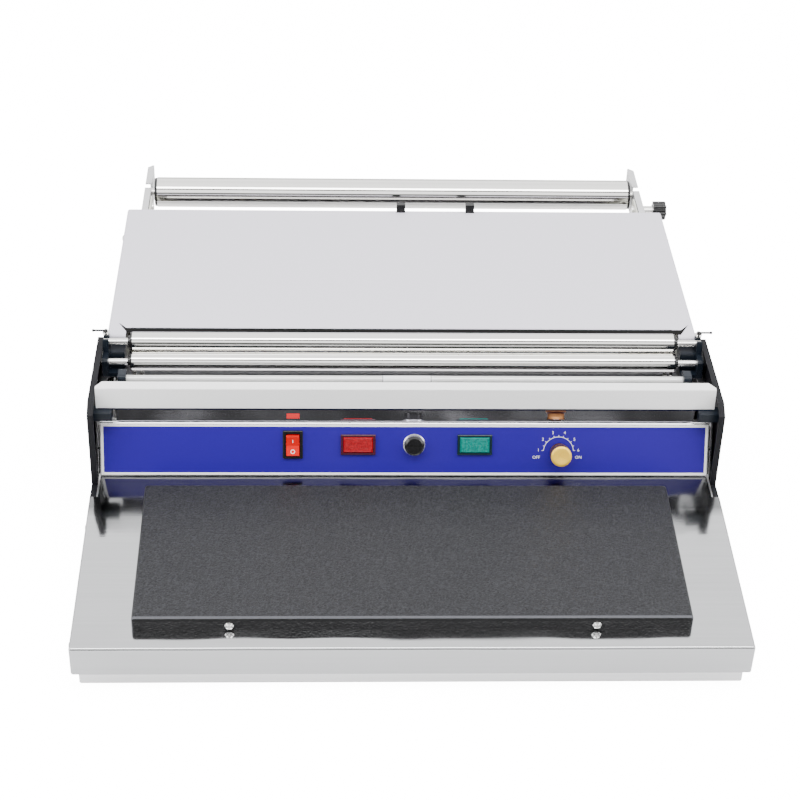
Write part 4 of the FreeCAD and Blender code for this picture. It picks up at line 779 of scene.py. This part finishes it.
@dataclass
class BrassKnob(SubAssembly):
    """Turned brass knob with a knurled neck and side and a spun face.

    Attributes:
        x: Place along the panel in millimetres.
        up: Place up the slope.
        flutes: Number of grooves round the side.
        depth: Depth of a groove as a part of the radius.
        low: Height of its back over the panel.
    """

    x: float = 126.3
    up: float = 21.6
    flutes: int = 44
    depth: float = 0.022
    low: float = 2.9

    def flute(self, angle: Array, row: Array) -> Array:
        """Radius factor 1 - depth (1 + cos(flutes angle)) / 2, on the rows of the neck and the side."""
        grooved = ((row >= 2) & (row <= 4)) | ((row >= 6) & (row <= 9))
        return 1.0 - self.depth * grooved * (0.5 + 0.5 * np.cos(self.flutes * angle))

    def add_pieces(self) -> None:
        """Add the knob, in place of the plain CAD knob."""
        profile = [
            (2.9, self.low), (7.7, self.low), (7.1, 4.4), (7.0, 6.0), (7.0, 7.8), (7.2, 8.1), (8.5, 9.0),
            (8.59, 9.4), (8.59, 16.0), (8.59, 17.6), (8.5, 18.0), (8.1, 18.45), (7.4, 18.6), (7.0, 18.9),
            (6.6, 18.95), (6.2, 18.9), (5.2, 18.95), (5.0, 18.88), (4.0, 18.93), (3.8, 18.86),
            (2.8, 18.91), (2.6, 18.84), (1.6, 18.89), (1.4, 18.82), (0.5, 18.86), (0.001, 18.86),
        ]
        points = turned_surface(profile, 264, self.flute)
        local = points + np.array([self.x, self.up, 0.0])
        local = np.concatenate([local[:1] * 0 + [self.x, self.up, self.low], local])
        knob = closed_grid("brass_knob", PANEL.to_world(local), crisp=40.0)
        seat(knob, Finish.BRASS, "regulator_knob")
        self.darken_side(knob)
        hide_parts("knob")

    def darken_side(self, knob: Thing) -> None:
        """Give the neck and the knurled side the darker brass, as painted shade, by the faces' way out of the
        panel.
        """
        knob.data.materials.append(Finish.BRASS_DARK.material())
        count = len(knob.data.polygons)
        normals = np.zeros(count * 3)
        knob.data.polygons.foreach_get("normal", normals)
        slant = math.radians(PANEL.lean)
        out = normals.reshape(-1, 3) @ np.array([0.0, -math.cos(slant), math.sin(slant)])
        knob.data.polygons.foreach_set("material_index", (out < 0.5).astype(np.int32))
        knob.data.update()


@dataclass
class RockerMarks(SubAssembly):
    """The I and O on the two faces of the rocker.

    Attributes:
        x: Middle of the rocker along the panel in millimetres.
        up: Pivot's place up the slope.
        out: Pivot's height over the panel.
        slope: Slope of each half face from level, in degrees.
        rest_tilt: Tilt of the rocker at rest.
        crown: Height of the inner edge of the half faces over the pivot.
        thick: Height of their tops.
        low: Height of their undersides over the face.
        ring_radii: Inner and outer radius of the O.
        ring_along: Its middle along the lower half face.
        bar_half: Half width and half length of the I.
        bar_along: Its middle along the upper half face.
    """

    x: float = -93.0
    up: float = 27.5
    out: float = 1.0
    slope: float = 11.04
    rest_tilt: float = 9.0
    crown: float = 3.0
    thick: float = 0.06
    low: float = 0.01
    ring_radii: Pair = (1.25, 1.85)
    ring_along: float = 4.9
    bar_half: Pair = (0.32, 1.5)
    bar_along: float = 4.3

    def place(self, points: Array, half: int) -> Array:
        """Take (x, along, above) on a half face to the machine's frame.

        Args:
            points: Array whose last axis holds x from the rocker's middle, the way along the half
                face from its inner edge, and the height above it.
            half: One for the upper half, minus one for the lower.

        Returns:
            Array of the same shape in metres: (along, above), taken as complex numbers, are turned
            by the half's slope, raised by the crown and turned by the tilt.
        """
        lean, tilt = np.exp(1j * np.radians([half * self.slope, self.rest_tilt]))
        face = (half * points[..., 1] + 1j * points[..., 2]) * lean
        turned = (face + 1j * self.crown) * tilt
        across = self.x + points[..., 0]
        return PANEL.to_world(np.stack([across, self.up + turned.real, self.out + turned.imag], axis=-1))

    def ring(self) -> Thing:
        """The O: a flat ring, its four corners carried round a circle."""
        angle = np.linspace(0.0, 2.0 * math.pi, 48, endpoint=False)[None, :]
        inner, outer = self.ring_radii
        radius = np.array([inner, inner, outer, outer, inner])[:, None]
        height = np.array([self.low, self.thick, self.thick, self.low, self.low])[:, None]
        along = self.ring_along + radius * np.sin(angle)
        points = np.stack([radius * np.cos(angle), along, np.broadcast_to(height, along.shape)], axis=-1)
        return closed_grid("mark_o", self.place(points, -1))

    def bar(self) -> Thing:
        """The I: a thin flat bar."""
        across, along = self.bar_half
        corners = [(-across, -along), (across, -along), (across, along), (-across, along)]
        outline = np.array(corners) + np.array([0.0, self.bar_along])
        rings = [np.column_stack([outline, np.full(4, height)]) for height in (self.low, self.thick)]
        return closed_grid("mark_i", self.place(capped(np.stack(rings)), 1))

    def add_pieces(self) -> None:
        """Add the two marks, which ride on the rocker."""
        seat(join_all("rocker_marks", [self.ring(), self.bar()]), Finish.MARK_WHITE, "switch_rocker_body")


@dataclass
class RibbedLens:
    """Lamp cover with a field of fine ribs on its face.

    Attributes:
        name: Name of the CAD lens that it stands for.
        x: Middle along the panel in millimetres.
        finish: Its finish.
        ribs: Number of ribs along and up.
        up: Middle up the slope.
        half: Half width and half height.
        low: Height of its underside over the panel.
        top: Height of its face.
        bevel: Width of the bevel round its face.
        fall: How far the bevel falls.
        groove: Depth between the ribs.
        steps: Columns and rows of the face.
    """

    name: str
    x: float
    finish: Finish
    ribs: tuple[int, int]
    up: float = 27.5
    half: Pair = (12.2, 6.5)
    low: float = -1.4
    top: float = 3.2
    bevel: float = 1.2
    fall: float = 1.1
    groove: float = 0.28
    steps: tuple[int, int] = (161, 97)

    def height(self, s: Array, t: Array) -> Array:
        """Face height: a bevel round the edge, then grooves by the product of two rows of ribs."""
        edge = np.minimum((1 - np.abs(s)) * self.half[0], (1 - np.abs(t)) * self.half[1])
        bevel = np.clip(edge / self.bevel, 0.0, 1.0)
        across, along = (np.abs(np.sin(math.pi * n * w / 2)) for n, w in zip(self.ribs, (s, t)))
        groove = np.where(bevel >= 1.0, 1 - across * along, 0.0)
        return self.top - self.fall * (1 - bevel) ** 2 - self.groove * groove

    def build(self) -> None:
        """Add the lens: a height field over its face, closed down its sides and across its underside."""
        s, t = np.meshgrid(*(np.linspace(-1, 1, count) for count in self.steps))
        x, up = self.x + s * self.half[0], self.up + t * self.half[1]
        face = np.stack([x, up, self.height(s, t)], axis=-1)
        top = closed_grid(f"{self.name}_face", PANEL.to_world(face), wrap=False)
        loop = np.concatenate([face[0, :-1], face[:-1, -1], face[-1, :0:-1], face[:0:-1, 0]])
        lower = loop * 1.0
        lower[:, 2] = self.low
        middle = np.broadcast_to(lower.mean(axis=0), lower.shape)
        wall = closed_grid(f"{self.name}_wall", PANEL.to_world(np.stack([loop, lower, middle])))
        lens = join_all(f"{self.name}_ribbed", [top, wall])
        weld(lens, 50.0)
        seat(lens, self.finish)
        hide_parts(self.name)


class ControlPanel(SubAssembly):
    """Leaning panel with its printed film, switch, lamps, fuse and knob."""

    finishes = {
        Finish.PANEL_SHEET: "control_panel control_box_sides",
        Finish.PRINT: "panel_overlay",
        Finish.VISOR: "control_box_cover",
        Finish.BLACK_PLASTIC: "switch_housing fuse_cap",
        Finish.ROCKER: "switch_rocker",
        Finish.BEZEL: "indicator_bezels",
        Finish.LENS_RED: "red_indicator_lens",
        Finish.LENS_GREEN: "green_indicator_lens",
        Finish.FUSE_RING: "fuse_holder",
        Finish.GLASS: "fuse_link",
        Finish.REGULATOR: "regulator_body",
        Finish.STEEL: "regulator_shaft",
        Finish.BRASS: "knob",
        Finish.CORE: "transformer_core",
        Finish.COIL: "transformer_coil",
        Finish.WHITE_PLASTIC: "terminal_block",
    }

    def add_pieces(self) -> None:
        """Add the scale, the knob, the rocker's marks and the lenses."""
        for part in (Dial(), BrassKnob(), RockerMarks(), PanelSeams()):
            part.build()
        RibbedLens("red_indicator_lens", -39.4, Finish.LENS_RED, (26, 13)).build()
        RibbedLens("green_indicator_lens", 56.5, Finish.LENS_GREEN, (9, 11)).build()


@dataclass
class CutterLabel(SubAssembly):
    """Blank white label with a grey rim, wrapped round the front of the cutter rod.

    Attributes:
        span: Ends of the label along the rod in millimetres.
        radius: Its radius.
        thick: Its thickness, and the rim's.
        rim: How far the rim stands out at the ends.
        reach: How far under level the label and the rim go down, in degrees.
        centre: Rod's setback and height.
    """

    span: Pair = (-19.0, 20.0)
    radius: float = 3.10
    thick: float = 0.05
    rim: float = 0.8
    reach: Pair = (2.0, 14.0)
    centre: Pair = (239.5, 125.0)

    def shell(self, name: str, span: Pair, radius: float, reach: float) -> Thing:
        """Wrap a thin closed shell round the rod.

        Args:
            name: Object name.
            span: Its ends along the rod.
            radius: Outer radius.
            reach: How far it goes down at the front and at the back, in degrees under level.

        Returns:
            The shell: a thin rectangle swept on an arc about the rod.
        """
        turn = np.radians(np.linspace(-reach, 180.0 + reach, 41))[:, None]
        along = np.array([span[0], span[1], span[1], span[0]])
        ring = radius - self.thick * np.array([0, 0, 1, 1])
        y = self.centre[0] - HALF_DEPTH - ring * np.cos(turn)
        z = self.centre[1] + ring * np.sin(turn)
        points = np.stack([np.broadcast_to(along, y.shape), y, z], axis=-1)
        return closed_grid(name, capped(points) * MM)

    def add_pieces(self) -> None:
        """Add the rim and, over it, the white label."""
        low, high = self.span
        wide = (low - self.rim, high + self.rim)
        rim = self.shell("cutter_label_rim", wide, self.radius - self.thick, self.reach[1])
        seat(rim, Finish.LABEL_RIM)
        label = self.shell("cutter_blank_label", self.span, self.radius, self.reach[0])
        seat(label, Finish.MARK_WHITE)


@dataclass
class GuardHem(SubAssembly):
    """Rolled lower edge of the guard bar, which shows as a dark blue line: its colour is a painted reflection
    of the blue panel in the bar's lower bend.

    Attributes:
        half: Half its length in millimetres.
        radius: Radius of the roll.
        centre: Its y and z.
    """

    half: float = 250.5
    radius: float = 1.05
    centre: Pair = (-100.75, 114.35)

    def add_pieces(self) -> None:
        """Add the roll: a circle carried along the bar."""
        angle = np.linspace(0.0, 2.0 * math.pi, 32, endpoint=False)
        section = np.array(self.centre) + self.radius * np.column_stack([np.cos(angle), np.sin(angle)])
        hem = carried_section("guard_bar_hem", section, (-self.half, self.half))
        seat(hem, Finish.HEM)


@dataclass
class CutterLugs(SubAssembly):
    """Bright terminal tabs of the cutter on the cross member, two at each end.

    Attributes:
        spans: Lowest and highest x and y of each tab, in millimetres.
        low: Height that they lie on.
        thick: Their thickness.
        bevel: Size of their bevel.
    """

    spans: tuple[tuple[float, float, float, float], ...] = (
        (-227.5, -224.4, -40.4, -32.8), (-222.1, -218.2, -40.4, -32.8),
        (219.9, 223.0, -38.4, -32.4), (224.6, 227.9, -38.4, -32.4),
    )
    low: float = 105.2
    thick: float = 0.9
    bevel: float = 0.25

    def add_pieces(self) -> None:
        """Add the tabs."""
        top = self.low + self.thick
        tabs = [
            small_plate("cutter_lug", (x0, y0, self.low), (x1, y1, top), self.bevel)
            for x0, x1, y0, y1 in self.spans
        ]
        seat(join_all("cutter_lugs", tabs), Finish.STEEL)


@dataclass
class LatchFerrules(SubAssembly):
    """Bright collar under each latch lever's handle.

    Attributes:
        x: Place of a post, left and right, in millimetres.
        y: Its place along the machine.
        profile: (radius, height) corners of the collar.
    """

    x: float = 250.1
    y: float = -17.2
    profile: Pairs = (
        (0.001, 132.7), (2.7, 132.7), (3.0, 132.95), (3.0, 133.5), (2.75, 133.65), (3.0, 133.8), (3.0, 134.4),
        (2.7, 134.7), (0.001, 134.7),
    )

    def add_pieces(self) -> None:
        """Add the two collars, each on its own latch."""
        for way, side in ((-1, "left"), (1, "right")):
            points = turned_surface(self.profile, 40) + np.array([way * self.x, self.y, 0.0])
            collar = closed_grid(f"latch_collar_{side}", points * MM)
            seat(collar, Finish.CHROME, f"{side}_latch")


@dataclass
class CoverTrim(SubAssembly):
    """Black strip along the front edge of the cover, with a leg into each corner: a painted shadow that
    stands in for the dark gap between the cover and the upper roller.

    Attributes:
        rear: x and y of its rear edge in millimetres, from left to right.
        front: The same of its front edge.
        low: Height of the cover.
        thick: Thickness of the strip.
    """

    rear: Pairs = (
        (-241.2, 4.6), (-234.6, -3.0), (-120.0, -3.2), (120.0, -3.2), (238.0, -3.0), (245.4, 5.2),
    )
    front: Pairs = (
        (-240.4, 3.7), (-233.2, -10.0), (-120.0, -10.0), (120.0, -10.0), (236.8, -10.0), (244.6, 4.3),
    )
    low: float = 129.0
    thick: float = 0.35

    def add_pieces(self) -> None:
        """Add the strip: a flat section carried between its two edges."""
        rear, front = np.array(self.rear), np.array(self.front)
        ground, top = np.full(len(rear), self.low), np.full(len(rear), self.low + self.thick)
        corners = [(rear, ground), (rear, top), (front, top), (front, ground)]
        rings = np.stack([np.column_stack([line, height]) for line, height in corners], axis=1)
        shadow_piece = closed_grid("cover_front_shadow_strip", capped(rings) * MM)
        seat(shadow_piece, Finish.RUBBER)


@dataclass
class PanelSeams(SubAssembly):
    """Black gasket with a small screw at each end of the panel.

    Attributes:
        x: Its place from the middle, in millimetres.
        span: Its ends up the slope.
        width: Its width.
        thick: Its thickness.
        screw: Screw's place up the slope.
        profile: (radius, height) corners of the screw's head.
    """

    x: float = 251.0
    span: Pair = (2.6, 43.6)
    width: float = 0.8
    thick: float = 0.35
    screw: float = 24.0
    profile: Pairs = ((0.001, 0.3), (1.1, 0.3), (1.1, 0.6), (0.7, 0.85), (0.001, 0.9))

    def add_pieces(self) -> None:
        """Add both gaskets and both screws."""
        lines = []
        for way in (-1, 1):
            path = np.array([(way * self.x, up) for up in self.span])
            lines.append(flat_strip("panel_gasket", path, self.width, 0.0, self.thick))
            head = turned_surface(self.profile, 24) + np.array([way * self.x, self.screw, 0.0])
            lines.append(closed_grid("panel_gasket_screw", PANEL.to_world(head)))
        seat(join_all("panel_gaskets", lines), Finish.BLACK_PLASTIC)


class Tower(SubAssembly):
    """Side plates, guard bar, cutter and the bearing blocks of the front rollers."""

    finishes = {
        Finish.SIDE_BLACK: "side_plate_left side_plate_right",
        Finish.BAR: "guard_bar",
        Finish.BLOCK: "guard_end_blocks bearing_block_left bearing_block_right cutter_holders",
        Finish.CUTTER: "cutter_rod",
        Finish.STEEL: "upper_axle lower_axle",
        Finish.CROSS: "cross_member",
        Finish.BLACK_PLASTIC: "latch_lever_left latch_lever_right upper_roller_ends lower_roller_ends",
        Finish.CHROME: "upper_roller lower_roller",
    }

    def add_pieces(self) -> None:
        """Add the cutter's label and tabs, the guard bar's rolled edge and the latches' collars."""
        for part in (CutterLabel(), CutterLugs(), GuardHem(), LatchFerrules()):
            part.build()


class RearDeck(SubAssembly):
    """Cover, rear sides, film cradle and the sliding carriage with its roller."""

    finishes = {
        Finish.COVER: "cover",
        Finish.BLACK_PLASTIC: "cover_clips star_knob rear_roller_ends",
        Finish.FRAME_BEIGE: "rear_side_left rear_side_right cradle_frame_left cradle_frame_right",
        Finish.ARM: "slide_arm_left slide_arm_right",
        Finish.CHROME: "cradle_roller rear_roller",
        Finish.STEEL: "cradle_axle rear_axle carriage_pins",
    }

    def add_pieces(self) -> None:
        """Add the black strip of painted shadow along the cover's front edge."""
        CoverTrim().build()


def stand(thing: Thing, place: Sequence[float], right: Array, ahead: Array) -> None:
    """Stand a camera or a lamp at a place, looking ahead, with a given way to its right."""
    columns = np.column_stack([right, np.cross(right, ahead), -ahead, place])
    thing.matrix_world = Matrix([*columns.tolist(), (0.0, 0.0, 0.0, 1.0)])


@dataclass(frozen=True)
class SoftBox:
    """A lamp: its name, place and size in metres, its power in watts and the point that it faces."""

    name: str
    place: Point
    size: Pair
    power: float
    target: Point = (0.0, 0.0, 0.1)

    def build(self) -> None:
        """Add the lamp."""
        data = bpy.data.lights.new(self.name, "AREA")
        data.shape = "RECTANGLE"
        data.size, data.size_y = self.size
        data.energy = self.power
        ahead = np.array(self.target) - np.array(self.place)
        ahead /= np.linalg.norm(ahead)
        right = np.cross(ahead, [0.0, 0.0, 1.0])
        stand(new_object(self.name, data), self.place, right / np.linalg.norm(right), ahead)


@dataclass
class Studio:
    """Floor, light and the photo's camera.

    Attributes:
        place: Camera place in metres.
        turn: Its turn to the right, in degrees.
        dip: How far it looks down.
        roll: Its roll.
        lens: Focal length in millimetres on a 36 mm sensor.
        floor_half: Half the floor's side in metres.
        floor_glow: Light that the floor gives to the machine.
        floor_sight: Light that the floor shows to the eye.
        sky_strength: Brightness of the surroundings.
        bands: Angle from the front horizon in degrees and tone, for each band of the surroundings;
            the first two are the ends.
        lamps: The soft boxes.
    """

    place: Point = (-0.07366, -1.42364, 1.03499)
    turn: float = 2.93
    dip: float = 34.54
    roll: float = 1.81
    lens: float = 89.108
    floor_half: float = 14.0
    floor_glow: float = 0.0
    floor_sight: float = 14.0
    sky_strength: float = 2.4
    bands: Pairs = (
        (0.0, 0.06), (180.0, 0.40), (22.0, 0.08), (28.0, 1.0), (44.0, 1.0), (49.0, 0.11), (63.0, 0.10),
        (70.0, 1.0), (90.0, 1.0), (122.0, 0.90), (134.0, 1.0), (152.0, 0.95),
    )
    lamps: tuple[SoftBox, ...] = (
        SoftBox("front_box", (0.0, -0.9, 2.4), (2.6, 0.6), 60.0, (0.0, -0.1, 0.1)),
        SoftBox("left_box", (-2.2, -0.8, 1.4), (1.4, 1.6), 26.0),
        SoftBox("right_box", (2.2, -0.6, 1.4), (1.4, 1.6), 22.0),
    )

    def camera(self) -> None:
        """Add the camera and make it the scene's."""
        data = bpy.data.cameras.new("photo_camera")
        data.lens = self.lens
        data.sensor_width = 36.0
        data.sensor_fit = "HORIZONTAL"
        data.dof.use_dof = False
        data.clip_start = 0.05
        data.clip_end = 60.0
        turn, dip, roll = (math.radians(a) for a in (self.turn, self.dip, self.roll))
        ahead = np.array([math.sin(turn) * math.cos(dip), math.cos(turn) * math.cos(dip), -math.sin(dip)])
        level = np.array([math.cos(turn), -math.sin(turn), 0.0])
        right = level * math.cos(roll) + np.cross(level, ahead) * math.sin(roll)
        camera = new_object("photo_camera", data)
        stand(camera, self.place, right, ahead)
        bpy.context.scene.camera = camera

    def floor(self) -> None:
        """Add a pale floor under the feet, which looks almost white but doesn't light the machine."""
        mesh = bpy.data.meshes.new("studio_floor")
        half = self.floor_half
        corners = [(-half, -half, 0.0), (half, -half, 0.0), (half, half, 0.0), (-half, half, 0.0)]
        mesh.from_pydata(corners, [], [(0, 1, 2, 3)])
        desk = Desk("studio_paper")
        paper = desk.mix(desk.effect(Effect.HAZE, Scale=1.5)[0], (0.90, 0.90, 0.90), (0.88, 0.88, 0.88))
        sight = desk.add("LightPath").outputs["Is Camera Ray"]
        glow = desk.spread(sight, To_Min=self.floor_glow, To_Max=self.floor_sight)
        desk.set(Roughness=0.9, Specular_IOR_Level=0.1, Emission_Color=(1.0, 1.0, 1.0))
        desk.set(Base_Color=paper, Emission_Strength=glow)
        mesh.materials.append(desk.material)
        floor = new_object("studio_floor", mesh)

    def sky(self) -> None:
        """Light the surroundings in soft bands, by the angle about X from the front horizon over the top."""
        world = bpy.data.worlds.new("studio_world")
        bpy.context.scene.world = world
        world.use_nodes = True
        bench = Bench(world.node_tree)
        split = bench.add("SeparateXYZ")
        bench.join(bench.add("TexCoord").outputs["Generated"], split.inputs[0])
        back = bench.math("MULTIPLY", split.outputs["Y"], -1.0)
        angle = bench.math("ARCTAN2", split.outputs["Z"], back)
        ramp = bench.add("ValToRGB", Fac=bench.math("DIVIDE", angle, math.pi))
        ramp.color_ramp.interpolation = "EASE"
        stops = ramp.color_ramp.elements
        for number, (degrees, tone) in enumerate(self.bands):
            stop = stops[number] if number < 2 else stops.new(degrees / 180.0)
            stop.position = degrees / 180.0
            stop.color = (tone, tone, tone, 1.0)
        backdrop = world.node_tree.nodes["Background"]
        bench.join(ramp.outputs["Color"], backdrop.inputs["Color"])
        backdrop.inputs["Strength"].default_value = self.sky_strength

    def build(self) -> None:
        """Set the whole studio up."""
        self.camera()
        self.floor()
        self.sky()
        for lamp in self.lamps:
            lamp.build()


def main() -> None:
    """Dress the machine, add its small pieces and light it."""
    for group in (Base(), HotPlate(), ControlPanel(), Tower(), RearDeck()):
        group.build()
    Studio().build()


if __name__ == "__main__":
    main()
